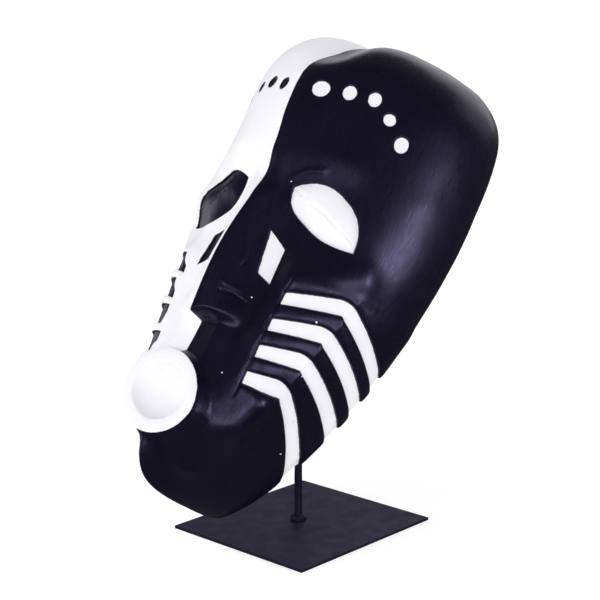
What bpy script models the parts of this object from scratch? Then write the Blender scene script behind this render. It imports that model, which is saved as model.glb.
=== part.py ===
"""Carved wooden mask, half black and half white, on a flat steel plate with an upright rod.

The plate lies on z = 0 with its centre at the origin. The mask faces -Y, leans back and is black on +X.
The mask is worked out in its own frame: x across, y up the plane of its rim from the chin, z out of the face.
"""

import math

import bmesh
import bpy
import numpy as np
from mathutils import Matrix, Vector
from mathutils.bvhtree import BVHTree
from mathutils.geometry import delaunay_2d_cdt

# Driving sizes, in metres
MASK_HEIGHT = 0.3195
MASK_HALF_WIDTH = 0.0985
MASK_DEPTH = 0.086
WALL = 0.009
RIM_ROUNDING = 0.0018
RIM_BEVEL = 0.008
PLATE_WIDTH = 0.114
PLATE_DEPTH = 0.126
PLATE_THICKNESS = 0.002
PLATE_EDGE = 0.0004
ROD_SIDE = 0.0042
SOCKET_DEPTH = 0.005
WELD_LEG = 0.0022
WELD_HEIGHT = 0.003
GAP = 0.0003

# Pose of the mask over the plate
LEAN_BACK = math.radians(32.0)
TILT = math.radians(2.37)
TURN = math.radians(-2.93)
CHIN_OVER_PLATE = 0.0202
CHIN_PLACE = Vector((-0.0046, -0.0768, PLATE_THICKNESS + CHIN_OVER_PLATE))
ROD_PLACE = Vector((-0.0050, 0.0012))

# The carving is drawn in units, each a millimetre at this height
UNITS_HIGH = 319.5
UNIT = MASK_HEIGHT / UNITS_HIGH
HALF = MASK_HALF_WIDTH / UNIT
DEPTH = MASK_DEPTH / UNIT
WALL_UNITS = WALL / UNIT
ROUNDING = RIM_ROUNDING / UNIT
BEVEL = RIM_BEVEL / UNIT

# Outline and profile: heights where the sides and the front begin to turn in, and the notch between two lobes
WIDEST = 221.0
CHIN_SHOULDER = 60.0
CROWN_SHOULDER = 240.0
NOTCH_DEPTH = 26.0
NOTCH_WIDTH = 16.0
NOTCH_PLACE = 1.5
NOTCH_FROM = 264.0
NOTCH_RUN = 34.0
NOTCH_FADE = 2.5
LOBE_LEAN = {1: 4.2, -1: 4.3}
LOBE_HALF = 60.0
CHIN_TAPER = (1.77, 1.45)
CROWN_CURVE = 3.4
CHIN_FRONT_CURVE = 4.5
CROWN_FRONT_CURVE = 3.4

# How square the sections are: 2 is an ellipse, and under 2 the chin narrows to a keel
FULLNESS = 2.05
JAW_FULLNESS = 0.75
JAW_RUN = 85.0
KEEL = 1.25
KEEL_FROM = 55.0
KEEL_RUN = 35.0

# Carving as (degrees round from the mid-line, height). A pair is by side: 1 is the black half, -1 the white
DOTS = {
    1: ((10.6, 262.3, 6.6, 6.1), (23.4, 264.5, 5.3, 5.7), (34.3, 265.0, 5.0, 5.5), (42.8, 256.0, 4.7, 4.5),
        (50.5, 244.2, 5.2, 5.6)),
    -1: ((11.0, 263.1, 4.7, 4.6), (22.0, 265.3, 4.9, 4.6), (32.0, 263.6, 4.4, 4.3), (43.5, 257.5, 4.2, 3.9),
         (50.5, 244.5, 4.7, 5.0)),
}
DOT_DEPTH = 1.0
EYE_INNER = {1: (15.0, 200.5), -1: (13.0, 200.5)}
EYE_OUTER = {1: (50.9, 172.2), -1: (46.5, 165.0)}
EYE_HALF_HEIGHT = {1: 16.3, -1: 17.8}
EYE_EDGE = 2.0
EYE_BULGE = 4.4
EYE_ROUNDNESS = 2.6
MARK = {
    1: ((12.2, 171.5), (22.9, 162.0), (24.2, 137.8), (15.2, 142.8)),
    -1: ((15.5, 166.0), (23.8, 161.0), (23.8, 139.0), (16.7, 144.4)),
}
MARK_DEPTH = 1.3
STRIPES = 4
STRIPE_START = {1: (33.0, 132.0), -1: (32.2, 139.0)}
STRIPE_START_STEP = {1: (-0.5, -17.0), -1: (-0.8, -17.8)}
STRIPE_SLANTS = {1: (0.0, 0.0, 0.0, 0.0), -1: (4.5, 2.9, 0.3, -0.9)}
STRIPE_KNEE = (56.5, 141.5)
STRIPE_KNEE_STEP = (-2.9, -19.3)
STRIPE_RIM_HEIGHTS = (112.0, 94.0, 74.0, 43.0)
STRIPE_WIDTHS = {1: (8.2, 10.5), -1: (13.5, 11.5)}
STRIPE_RIM_WIDTHS = (8.2, 9.6, 10.5, 12.0)
STRIPE_SAGS = (0.0, 0.0, 0.5, 3.5)
STRIPE_DEPTH = 1.9
STEP_WIDTH = 0.9
LAST_DEGREES = 89.0
PANEL_LIFT = 1.0
PANEL_EDGE = (31.0, 4.0)
PANEL_FOOT = (35.0, 30.0)
PANEL_HEAD = (150.0, 8.0)
KNEE_RISE = 1.5
KNEE_SPREAD = 7.0
KNEE_CREASE = ((59.8, 148.0), (57.6, 134.0), (53.8, 113.0), (51.0, 96.0), (47.5, 78.0))

# Broad hollows as (depth, middle across and up, half sizes), and rounded ridges as (rise, half width, path)
HOLLOWS = (
    (8.5, (30.0, 145.0), (24.0, 52.0)),
    (6.0, (33.0, 92.0), (19.0, 46.0)),
    (6.0, (0.0, 108.0), (42.0, 62.0)),
    (3.2, (0.0, 204.0), (16.0, 17.0)),
)
WHITE_SIDE_HOLLOWS = (
    (3.0, (-66.0, 235.0), (36.0, 50.0)),
    (-2.5, (-74.0, 186.0), (30.0, 18.0)),
    (4.5, (-60.0, 158.0), (34.0, 30.0)),
    (2.2, (-56.0, 120.0), (34.0, 62.0)),
)
EYE_SOCKET_DEPTH = 7.0
BROW_EDGE = (226.0, 30.0)
SOCKET_FOOT = (140.0, 45.0)
SOCKET_NOSE_SIDE = (3.0, 14.0)
SOCKET_TEMPLE_SIDE = (78.0, 34.0)
RIDGES = (
    (2.6, 6.5, ((33.0, 146.5), (42.0, 154.5), (50.0, 159.5), (57.0, 161.0))),
    (5.5, 8.5, ((12.0, 26.0), (17.0, 31.0), (25.0, 39.5), (30.0, 45.5), (34.0, 53.5), (41.0, 71.0))),
    (3.0, 20.0, ((0.0, 245.0), (0.0, 270.0))),
)

# Nose, as a ridge from the brows to the tip, with a flat cut below it
NOSE_TOP = 204.0
NOSE_TIP = 107.0
NOSE_TOP_RISE = -5.2
NOSE_TIP_RISE = 6.8
NOSE_BOW = 6.4
NOSE_TOP_HALF = 4.0
NOSE_TIP_HALF = 24.0
NOSE_TOP_FALL = 5.0
NOSE_TIP_FALL = 14.0
NOSE_FLARE = 1.8
NOSE_ROUNDING = 1.5
NOSE_CREASE = 1.2
NOSE_REACH = (70.0, 20.0)
NOSE_UNDER = 3.0
NOSE_ARCH = 6.5
NOSE_ARCH_RUN = 8.0
NOSE_SIDE_UNDER = 4.5
NOSE_BLEND = 12.0
WING_PLACE = (21.0, 115.0)
WING_SIZE = (8.5, 9.0)
WING_RISE = 1.4

# Mouth: a block with a flat ring of even width round a bowl. A profile row is (share of the way out on the plain
# surface, share on the block where 1 is the ring's edge, height over the ring's face as a share of the bowl's depth)
MOUTH_PLACE = (-0.8, 56.0)
MOUTH_HALF = (32.4, 26.4)
MOUTH_TURN = math.radians(-8.0)
MOUTH_POWER = 1.88
MOUTH_FACE_RISE = 2.5
RING_WIDTH = 8.6
BOWL_RIM = 0.80
BOWL_DEPTH = 12.0
MOUTH_PROFILE = (
    (0.00, 0.00, -1.00), (0.25, 0.28, -0.94), (0.48, 0.56, -0.70), (0.66, 0.765, -0.18), (0.74, 0.81, 0.00),
    (0.92, 0.95, 0.00), (1.02, 1.00, -0.20),
)
RING_EDGE = 0.98
MOUTH_ROOT = 1.18
MOUTH_ROOT_RADIUS = 1.20
MOUTH_REACH = 1.40
BOWL_BACK_REACH = 1.61
FORWARD = 0.3 * DEPTH

# The line between the colours runs down the middle, and bends to the white side at the chin and the crown
LINE_SHIFT = 12.0
LINE_SHIFT_FROM = 44.0
LINE_SHIFT_RUN = 24.0
CROWN_LINE_SHIFT = 3.5
CROWN_LINE_FROM = 222.0
CROWN_LINE_RUN = 40.0

# Mesh density, and the flat map's half sizes and middle
RIM_POINTS = 120
RIM_LOOPS = (0.0, 0.45, 1.0)
OUTER_SPACING = 8.5
OUTER_CLEAR = 3.6
INNER_SPACING = 17.0
INNER_MARGIN = 6.8
INNER_CLEAR = 5.1
MOUTH_POINTS = 28
NOSE_EDGE_POINTS = 15
MIDDLE_ROWS = 57
LEAST_MITRE = 0.4
MOST_ACROSS = 0.999
ON_RIM = 1e-3
FAR = 1e9
WRAP_RADIUS = 145.0
LENGTH_RADIUS = 225.0
CENTRE_HEIGHT = 150.0
LAST_SHARE = 0.985
LEAST_FACING = 0.35
BISECTIONS = 48
NORMAL_STEP = 0.4

BLACK = (0.012, 0.010, 0.022, 1.0)
WHITE = (0.86, 0.86, 0.88, 1.0)
STEEL = (0.015, 0.014, 0.018, 1.0)


def smooth(u):
    u = np.clip(u, 0.0, 1.0)
    return u * u * (3.0 - 2.0 * u)


def dome(u2):
    return np.clip(1.0 - u2, 0.0, 1.0) ** 2


# The plain surface: sections across the mask are superellipses over its outline and profile
def half_width(y):
    low = np.clip((WIDEST - y) / WIDEST, 0.0, 1.0)
    high = np.clip((y - WIDEST) / (UNITS_HIGH - WIDEST), 0.0, 1.0)
    chin = (1.0 - low ** CHIN_TAPER[0]) ** (1.0 / CHIN_TAPER[1])
    return HALF * chin * (1.0 - high**CROWN_CURVE) ** (1.0 / CROWN_CURVE)


def front(y):
    low = np.clip((CHIN_SHOULDER - y) / CHIN_SHOULDER, 0.0, 1.0)
    high = np.clip((y - CROWN_SHOULDER) / (UNITS_HIGH - CROWN_SHOULDER), 0.0, 1.0)
    chin = (1.0 - low**CHIN_FRONT_CURVE) ** (1.0 / CHIN_FRONT_CURVE)
    return DEPTH * chin * (1.0 - high**CROWN_FRONT_CURVE) ** (1.0 / CROWN_FRONT_CURVE)


def fullness(y):
    jaw = JAW_FULLNESS * np.exp(-(((y - CHIN_SHOULDER) / JAW_RUN) ** 2))
    return FULLNESS + jaw - KEEL * smooth((KEEL_FROM - y) / KEEL_RUN)


def outside(p):
    """True where a point lies outside the plain surface."""
    x, y, z = p[..., 0], p[..., 1], p[..., 2]
    near_top = smooth((y - NOTCH_FROM) / NOTCH_RUN)
    to_front = np.clip(z / DEPTH, 0.0, 1.0) ** NOTCH_FADE
    notch = NOTCH_DEPTH * np.exp(-(((x - NOTCH_PLACE) / NOTCH_WIDTH) ** 2)) * to_front
    lean = np.where(x > 0.0, LOBE_LEAN[1], LOBE_LEAN[-1]) * np.clip(x / LOBE_HALF, -1.0, 1.0)
    height = y + (notch + lean) * near_top
    inner = np.clip(height, 1e-3, UNITS_HIGH - 1e-3)
    power = fullness(inner)
    across = (np.abs(x) / half_width(inner)) ** power
    out = (np.abs(z) / front(inner)) ** power
    return (across + out > 1.0) | (height >= UNITS_HIGH) | (height <= 0.0)


# A flat map of the surface: directions from a point on the rim plane, laid out round an oval
def oval_radius(angle):
    return 1.0 / np.sqrt((np.cos(angle) / WRAP_RADIUS) ** 2 + (np.sin(angle) / LENGTH_RADIUS) ** 2)


def to_map(points):
    x, y, z = points[..., 0], points[..., 1] - CENTRE_HEIGHT, points[..., 2]
    angle = np.arctan2(y, x)
    rise = np.arctan2(z, np.hypot(x, y))
    radius = oval_radius(angle) * (1.0 - rise / (math.pi / 2))
    return np.stack([radius * np.cos(angle), radius * np.sin(angle)], -1)


def from_map(places):
    """Points of the plain surface at places on the flat map."""
    angle = np.arctan2(places[:, 1], places[:, 0])
    share = np.minimum(np.hypot(places[:, 0], places[:, 1]) / oval_radius(angle), 1.0)
    rise = (1.0 - share) * math.pi / 2
    way = np.stack([np.cos(rise) * np.cos(angle), np.cos(rise) * np.sin(angle), np.sin(rise)], -1)
    centre = np.array([0.0, CENTRE_HEIGHT, 0.0])
    low = np.ones(len(places))
    high = np.full(len(places), 2.0 * UNITS_HIGH)
    for _ in range(BISECTIONS):
        middle = 0.5 * (low + high)
        beyond = outside(centre + middle[:, None] * way)
        high = np.where(beyond, middle, high)
        low = np.where(beyond, low, middle)
    points = centre + low[:, None] * way
    points[share > 1.0 - 1e-9, 2] = 0.0
    return points


def normals_of(places):
    """Outward normals of the plain surface, from neighbouring points on the flat map."""
    angle = np.arctan2(places[:, 1], places[:, 0])
    share = np.hypot(places[:, 0], places[:, 1]) / oval_radius(angle)
    held = places * (np.minimum(share, LAST_SHARE) / np.maximum(share, 1e-9))[:, None]
    right = from_map(held + (NORMAL_STEP, 0.0)) - from_map(held - (NORMAL_STEP, 0.0))
    up = from_map(held + (0.0, NORMAL_STEP)) - from_map(held - (0.0, NORMAL_STEP))
    normal = np.cross(right, up)
    at_rim = share > LAST_SHARE
    normal[at_rim, 2] *= np.clip((1.0 - share[at_rim]) / (1.0 - LAST_SHARE), 0.0, 1.0)
    return normal / np.linalg.norm(normal, axis=1)[:, None]


def section_point(degrees, y):
    """The plain surface at an angle round from the mid-line, at a height."""
    turn = np.radians(90.0 - np.asarray(degrees, float))
    y = np.asarray(y, float)
    power = fullness(y)
    across = (np.abs(np.cos(turn)) / half_width(y)) ** power
    out = (np.abs(np.sin(turn)) / front(y)) ** power
    radius = (across + out) ** (-1.0 / power)
    return np.stack([radius * np.cos(turn), np.broadcast_to(y, radius.shape), radius * np.sin(turn)], -1)


def face_height(x, y):
    """Height of the plain surface over the rim plane, where it faces forward."""
    power = fullness(y)
    across = np.clip(np.abs(x) / half_width(y), 0.0, MOST_ACROSS) ** power
    return front(y) * (1.0 - across) ** (1.0 / power)


# Outlines of the carving on the flat map, for one side
def outline(points, side):
    degrees, heights = np.array(points, float).T
    return to_map(section_point(side * degrees, heights))


def per_degree():
    """About how far one degree is round the side of the mask."""
    return math.pi * HALF / 180.0


def stripe_outline(index, side, count=5):
    start = np.array(STRIPE_START[side]) + index * np.array(STRIPE_START_STEP[side])
    knee = np.array(STRIPE_KNEE) + index * np.array(STRIPE_KNEE_STEP)
    rim = np.array((90.0, STRIPE_RIM_HEIGHTS[index]))
    edges = []
    for way in (1.0, -1.0):
        edge = []
        for k in range(count):
            u = k / (count - 1)
            width = STRIPE_WIDTHS[side][0] + u * (STRIPE_WIDTHS[side][1] - STRIPE_WIDTHS[side][0])
            middle = start + u * (knee - start)
            slant = way * (1.0 - u) * STRIPE_SLANTS[side][index]
            edge.append((middle[0] + slant, middle[1] + 0.5 * way * width))
        slope = (rim[1] - knee[1]) / ((rim[0] - knee[0]) * per_degree())
        lean = math.hypot(1.0, slope)
        for k in range(1, count + 1):
            u = k / count
            width = STRIPE_WIDTHS[side][1] + u * (STRIPE_RIM_WIDTHS[index] - STRIPE_WIDTHS[side][1])
            middle = knee + u * (rim - knee) - (0.0, STRIPE_SAGS[index] * math.sin(math.pi * u))
            edge.append((middle[0], middle[1] + 0.5 * way * width * lean))
        edges.append(edge)
    points = edges[0] + edges[1][::-1]
    degrees, heights = np.array(points).T
    return to_map(section_point(side * np.minimum(degrees, LAST_DEGREES), heights))


def eye_outline(side, count=22):
    inner = section_point(side * EYE_INNER[side][0], EYE_INNER[side][1])
    outer = section_point(side * EYE_OUTER[side][0], EYE_OUTER[side][1])
    a, b = to_map(inner), to_map(outer)
    along = b - a
    across = np.array([-along[1], along[0]]) / np.linalg.norm(along) * side
    places = []
    for k in range(count):
        turn = 2.0 * math.pi * k / count
        u = 0.5 - 0.5 * math.cos(turn)
        bow = (1.0 - abs(2.0 * u - 1.0) ** EYE_ROUNDNESS) * EYE_HALF_HEIGHT[side]
        places.append(a + u * along + across * bow * (1.0 if turn < math.pi else -1.0))
    return np.array(places)


def dot_outline(dot, side, count=10):
    """A spot whose half width and half height are true sizes on the curved surface."""
    degrees, height, half_across, half_up = dot
    middle = section_point(degrees, height)
    per_degree = np.linalg.norm(section_point(degrees + 1.0, height) - middle)
    per_height = np.linalg.norm(section_point(degrees, height + 1.0) - middle)
    turns = np.arange(count) * 2.0 * math.pi / count
    round_from_middle = degrees + half_across / per_degree * np.cos(turns)
    return to_map(section_point(side * round_from_middle, height + half_up / per_height * np.sin(turns)))


def inset(places, distance):
    """The outline moved inward by a distance."""
    before, after = np.roll(places, 1, 0), np.roll(places, -1, 0)
    area = np.sum(before[:, 0] * places[:, 1] - before[:, 1] * places[:, 0])
    turn = 1.0 if area > 0 else -1.0

    def left(edge):
        unit = edge / np.linalg.norm(edge, axis=1)[:, None]
        return np.stack([-unit[:, 1], unit[:, 0]], -1) * turn

    n1, n2 = left(places - before), left(after - places)
    middle = n1 + n2
    middle /= np.linalg.norm(middle, axis=1)[:, None]
    reach = distance / np.maximum(np.sum(middle * n1, axis=1), LEAST_MITRE)
    return places + middle * reach[:, None]


def depth_inside(points, places):
    """Distance of each point inside an outline, and minus the distance outside it."""
    best = np.full(len(points), FAR)
    inside = np.zeros(len(points), bool)
    for a, b in zip(places, np.roll(places, -1, 0)):
        edge = b - a
        u = np.clip(((points - a) @ edge) / (edge @ edge), 0.0, 1.0)
        best = np.minimum(best, np.linalg.norm(points - a - u[:, None] * edge, axis=1))
        crosses = (a[1] > points[:, 1]) != (b[1] > points[:, 1])
        rise = edge[1] if edge[1] != 0.0 else 1.0
        inside ^= crosses & (points[:, 0] < a[0] + (points[:, 1] - a[1]) * edge[0] / rise)
    return np.where(inside, best, -best)


def carvings():
    """Every outline that is carved and painted in the other colour: (kind, side, outline)."""
    found = []
    for side in (1, -1):
        for index in range(STRIPES):
            found.append(("stripe", side, stripe_outline(index, side)))
        found.append(("eye", side, eye_outline(side)))
        found.append(("mark", side, outline(MARK[side], side)))
        for dot in DOTS[side]:
            found.append(("dot", side, dot_outline(dot, side)))
    return found


# Broad modelling of the face, as a lift of the surface
def sunk_place(across, y, hollow):
    depth, middle, half = hollow
    return depth * dome(((across - middle[0]) / half[0]) ** 2 + ((y - middle[1]) / half[1]) ** 2)


def hollow_lift(x, y):
    """The sunk middle of the face: eye sockets, troughs beside the nose and hollows beside the mouth."""
    away = np.abs(x)
    up = smooth((BROW_EDGE[0] - y) / BROW_EDGE[1]) * smooth((y - SOCKET_FOOT[0]) / SOCKET_FOOT[1])
    from_nose = smooth((away - SOCKET_NOSE_SIDE[0]) / SOCKET_NOSE_SIDE[1])
    lift = -EYE_SOCKET_DEPTH * up * from_nose * smooth((SOCKET_TEMPLE_SIDE[0] - away) / SOCKET_TEMPLE_SIDE[1])
    for hollow in HOLLOWS:
        lift = lift - sunk_place(away, y, hollow)
    for hollow in WHITE_SIDE_HOLLOWS:
        lift = lift - sunk_place(x, y, hollow)
    return lift


def distance_to_path(degrees, y, path):
    """Distance from a path of (degrees, height) points that runs over both sides of the mask alike."""
    here = np.stack([np.abs(degrees) * per_degree(), y], -1)
    line = np.array(path) * (per_degree(), 1.0)
    best = np.full(len(y), FAR)
    for a, b in zip(line[:-1], line[1:]):
        u = np.clip(((here - a) @ (b - a)) / ((b - a) @ (b - a)), 0.0, 1.0)
        best = np.minimum(best, np.linalg.norm(here - a - u[:, None] * (b - a), axis=1))
    return best


def ridge_share(degrees, y, path, width):
    """1 on a path of (degrees, height) points, falling to 0 away from it."""
    return np.exp(-((distance_to_path(degrees, y, path) / width) ** 2))


def broad_lift(points):
    x, y, z = points.T
    degrees = 90.0 - np.degrees(np.arctan2(z, x))
    beside_face = smooth((np.abs(degrees) - PANEL_EDGE[0]) / PANEL_EDGE[1])
    foot_to_head = smooth((y - PANEL_FOOT[0]) / PANEL_FOOT[1]) * smooth((PANEL_HEAD[0] - y) / PANEL_HEAD[1])
    lift = hollow_lift(x, y) + PANEL_LIFT * beside_face * foot_to_head
    for rise, width, path in RIDGES:
        lift = lift + rise * ridge_share(degrees, y, path, width)
    return lift + KNEE_RISE * np.exp(-distance_to_path(degrees, y, KNEE_CREASE) / KNEE_SPREAD)


def nose_height(x, y):
    share = np.clip((NOSE_TOP - y) / (NOSE_TOP - NOSE_TIP), 0.0, 1.0)
    rise = NOSE_TOP_RISE + share * (NOSE_TIP_RISE - NOSE_TOP_RISE) + NOSE_BOW * np.sin(math.pi * share)
    half = NOSE_TOP_HALF + (NOSE_TIP_HALF - NOSE_TOP_HALF) * share**NOSE_FLARE
    fall = NOSE_TOP_FALL + (NOSE_TIP_FALL - NOSE_TOP_FALL) * share
    return DEPTH + rise - fall * (np.abs(x) / half) ** NOSE_ROUNDING


def nose_cut(x):
    """Height of the nose's lower edge, and how far below it the cut under the nose ends."""
    arch = np.tanh(np.abs(x) / NOSE_ARCH_RUN)
    return NOSE_TIP + NOSE_ARCH * arch, NOSE_UNDER + NOSE_SIDE_UNDER * arch


def with_nose(x, y, z):
    """The face with the nose standing on it."""
    raised = NOSE_CREASE * np.logaddexp(z / NOSE_CREASE, nose_height(x, y) / NOSE_CREASE)
    wing = ((np.abs(x) - WING_PLACE[0]) / WING_SIZE[0]) ** 2 + ((y - WING_PLACE[1]) / WING_SIZE[1]) ** 2
    raised = raised + WING_RISE * dome(wing)
    edge, under = nose_cut(x)
    foot = smooth((y - edge + under) / under)
    head = smooth((NOSE_TOP + NOSE_BLEND - y) / (2.0 * NOSE_BLEND))
    return z + foot * head * np.maximum(raised - z, 0.0)


def carve(places, outlines):
    """The finished outer surface at places on the flat map."""
    points = from_map(places)
    normals = normals_of(places)
    lift = broad_lift(points)
    for kind, side, edge in outlines:
        reach = depth_inside(places, edge)
        if kind == "eye":
            inner = np.clip(reach / EYE_HALF_HEIGHT[side], 0.0, 1.0)
            lift += -EYE_EDGE * smooth(reach / STEP_WIDTH) + EYE_BULGE * (1.0 - (1.0 - inner) ** 2)
        else:
            sunk = {"stripe": STRIPE_DEPTH, "mark": MARK_DEPTH, "dot": DOT_DEPTH}[kind]
            lift -= sunk * smooth(reach / STEP_WIDTH)
    x, y = points[:, 0], points[:, 1]
    lifted = points + normals * lift[:, None]
    nose = with_nose(lifted[:, 0], lifted[:, 1], lifted[:, 2])
    beside = smooth((NOSE_REACH[0] - np.abs(x)) / NOSE_REACH[1])
    near_nose = beside * (y > NOSE_TIP - 2.0 * NOSE_UNDER) * (y < NOSE_TOP + 2.0 * NOSE_BLEND)
    lifted[:, 2] += near_nose * (nose - lifted[:, 2])
    return round_rim(set_mouth(lifted, points), places, normals)


def mouth_norm(x, y):
    """Distance from the middle of the mouth, as a share of the way to the ring's edge."""
    across, up = x - MOUTH_PLACE[0], y - MOUTH_PLACE[1]
    c, s = math.cos(MOUTH_TURN), math.sin(MOUTH_TURN)
    along = np.abs(across * c + up * s) / MOUTH_HALF[0]
    over = np.abs(up * c - across * s) / MOUTH_HALF[1]
    return (along**MOUTH_POWER + over**MOUTH_POWER) ** (1.0 / MOUTH_POWER)


def mouth_share(points):
    """The same distance, and out of reach away from the front."""
    return np.where(points[:, 2] > FORWARD, mouth_norm(points[:, 0], points[:, 1]), 2.0 * MOUTH_REACH)


def set_mouth(lifted, points):
    """Moves the points near the mouth onto its ring, bowl and wall."""
    share = mouth_share(points)
    mine = share < MOUTH_REACH
    x, y = points[:, 0] - MOUTH_PLACE[0], points[:, 1] - MOUTH_PLACE[1]
    length = np.maximum(np.hypot(x, y), 1e-6)
    ring_radius = length / np.maximum(share, 1e-6)
    shares, radii, rises = np.array(MOUTH_PROFILE).T
    all_shares = np.append(shares, (MOUTH_ROOT, MOUTH_REACH))
    all_radii = np.append(radii, (MOUTH_ROOT_RADIUS, MOUTH_REACH))
    radius = np.interp(share, all_shares, all_radii)
    in_bowl = (ring_radius - RING_WIDTH) * np.minimum(radius / BOWL_RIM, 1.0)
    on_ring = RING_WIDTH * np.clip((radius - BOWL_RIM) / (1.0 - BOWL_RIM), 0.0, 1.0)
    grow = (in_bowl + on_ring + ring_radius * np.maximum(radius - 1.0, 0.0)) / length
    new_x, new_y = x * grow + MOUTH_PLACE[0], y * grow + MOUTH_PLACE[1]
    ground = face_height(new_x, new_y) + hollow_lift(new_x, new_y)
    block = DEPTH + MOUTH_FACE_RISE + BOWL_DEPTH * np.interp(share, shares, rises)
    to_ground = smooth((share - RING_EDGE) / (MOUTH_ROOT - RING_EDGE))
    height = block + (np.minimum(ground, block) - block) * to_ground
    blend = smooth((share - MOUTH_ROOT) / (MOUTH_REACH - MOUTH_ROOT))
    target = np.stack([new_x, new_y, height], -1)
    moved = target + (lifted - target) * blend[:, None]
    return np.where(mine[:, None], moved, lifted)


def rim_distance(places):
    angle = np.arctan2(places[:, 1], places[:, 0])
    return oval_radius(angle) - np.hypot(places[:, 0], places[:, 1])


def round_rim(lifted, places, normals):
    """Turns the last few units before the rim inward, as a worn bevel."""
    to_rim = rim_distance(places)
    u = np.clip(1.0 - to_rim / BEVEL, 0.0, 1.0)
    lifted = lifted - normals * (ROUNDING * u**1.4)[:, None]
    lifted[to_rim < ON_RIM, 2] = 0.0
    return lifted


def rim_places(inward=0.0):
    angles = np.arange(RIM_POINTS) * 2.0 * math.pi / RIM_POINTS + math.pi / 2
    radius = oval_radius(angles) - inward
    return np.stack([radius * np.cos(angles), radius * np.sin(angles)], -1)


def grid_places(spacing, margin):
    rows = np.arange(-LENGTH_RADIUS, LENGTH_RADIUS, spacing * math.sqrt(0.75))
    places = []
    for index, row in enumerate(rows):
        shift = 0.5 * spacing * (index % 2)
        for column in np.arange(-WRAP_RADIUS - shift, WRAP_RADIUS, spacing):
            places.append((column, row))
    places = np.array(places)
    return places[rim_distance(places) > margin]


def mouth_rings():
    rings = []
    turns = np.arange(MOUTH_POINTS) * 2.0 * math.pi / MOUTH_POINTS + math.pi / 2
    for share in [row[0] for row in MOUTH_PROFILE[1:]] + [MOUTH_ROOT, MOUTH_REACH]:
        reach = share / mouth_norm(MOUTH_PLACE[0] + np.cos(turns), MOUTH_PLACE[1] + np.sin(turns))
        x = MOUTH_PLACE[0] + reach * np.cos(turns)
        y = MOUTH_PLACE[1] + reach * np.sin(turns)
        rings.append(to_map(np.stack([x, y, face_height(x, y)], -1)))
    return rings


def nose_edges():
    """Lines across the face at the nose's tip and under it, so that its cut stays crisp."""
    x = np.linspace(-1.5, 1.5, NOSE_EDGE_POINTS) * NOSE_TIP_HALF
    edge, under = nose_cut(x)
    rows = []
    for height in (edge, edge - under):
        rows.append(to_map(np.stack([x, height, face_height(x, height)], -1)))
    return rows


def line_shift(heights):
    """How far the line between the colours lies to the white side, on the flat map."""
    below = LINE_SHIFT * smooth((LINE_SHIFT_FROM - heights) / LINE_SHIFT_RUN)
    return below + CROWN_LINE_SHIFT * smooth((heights - CROWN_LINE_FROM) / CROWN_LINE_RUN)


def middle_lines():
    """The keel of the chin, and the line between the two colours from the top notch to the chin."""
    rows = np.linspace(-LENGTH_RADIUS, LENGTH_RADIUS, MIDDLE_ROWS)[2:-2]
    keel = np.stack([np.zeros(len(rows)), rows], -1)
    heights = from_map(keel)[:, 1]
    line = keel - np.stack([line_shift(heights), np.zeros(len(rows))], -1)
    return [line, keel[heights < LINE_SHIFT_FROM - 0.5 * LINE_SHIFT_RUN]]


def triangulate(loops, chains, loose, clear):
    """A triangle mesh over the flat map that keeps every loop and chain as edges."""
    places, edges = [], []
    for loop in loops:
        first = len(places)
        places.extend(loop)
        edges.extend((first + k, first + (k + 1) % len(loop)) for k in range(len(loop)))
    for chain in chains:
        first = len(places)
        places.extend(chain)
        edges.extend((first + k, first + k + 1) for k in range(len(chain) - 1))
    fixed = np.array(places)
    keep = [p for p in loose if np.min(np.hypot(*(fixed - p).T)) > clear]
    places = [Vector((float(p[0]), float(p[1]))) for p in places + keep]
    verts, _, faces, _, _, _ = delaunay_2d_cdt(places, edges, [], 0, 1e-4)
    return np.array([tuple(v) for v in verts]), [tuple(f) for f in faces]


def rim_order(places):
    """Indices of the points on the oval's edge, in order of angle."""
    found = np.flatnonzero(rim_distance(places) < ON_RIM)
    angle = np.arctan2(places[found, 1], places[found, 0])
    return found[np.argsort(angle)]


def outer_map(outlines):
    loops = [rim_places(share * BEVEL) for share in RIM_LOOPS] + mouth_rings()
    for _, _, edge in outlines:
        loops.append(edge)
        loops.append(inset(edge, STEP_WIDTH))
    loose = grid_places(OUTER_SPACING, BEVEL + 0.5 * OUTER_SPACING)
    in_mouth = mouth_share(from_map(loose)) < MOUTH_REACH
    chains = nose_edges() + middle_lines()
    return triangulate(loops, chains, loose[~in_mouth], OUTER_CLEAR)


def inner_surface(places):
    """The hollow behind: each point is pulled to the middle by the wall and by the carving in front of it."""
    points, normals = from_map(places), normals_of(places)
    centre = np.array([0.0, CENTRE_HEIGHT, 0.0])
    radius = np.linalg.norm(points - centre, axis=1)
    way = (points - centre) / radius[:, None]
    facing = np.maximum(np.sum(way * normals, axis=1), LEAST_FACING)
    x, y = points[:, 0], points[:, 1]
    in_mouth = mouth_norm(x, y) / BOWL_BACK_REACH
    behind_bowl = BOWL_DEPTH * dome(in_mouth**2) * (points[:, 2] > FORWARD)
    back = WALL_UNITS - np.minimum(hollow_lift(x, y), 0.0) + behind_bowl
    inner = centre + (radius - back / facing)[:, None] * way
    inner[rim_distance(places) < ON_RIM, 2] = 0.0
    return inner


def facing_up(places, faces):
    """The faces, all turned the same way round on the flat map."""
    turned = []
    for a, b, c in faces:
        (ax, ay), (bx, by), (cx, cy) = places[a], places[b], places[c]
        area = (bx - ax) * (cy - ay) - (by - ay) * (cx - ax)
        turned.append((a, b, c) if area > 0 else (a, c, b))
    return turned


def mask_pose():
    turn = Matrix.Rotation(TURN, 4, "Z") @ Matrix.Rotation(TILT, 4, "Y")
    lean = Matrix.Rotation(math.pi / 2 - LEAN_BACK, 4, "X")
    return Matrix.Translation(CHIN_PLACE) @ turn @ lean


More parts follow.
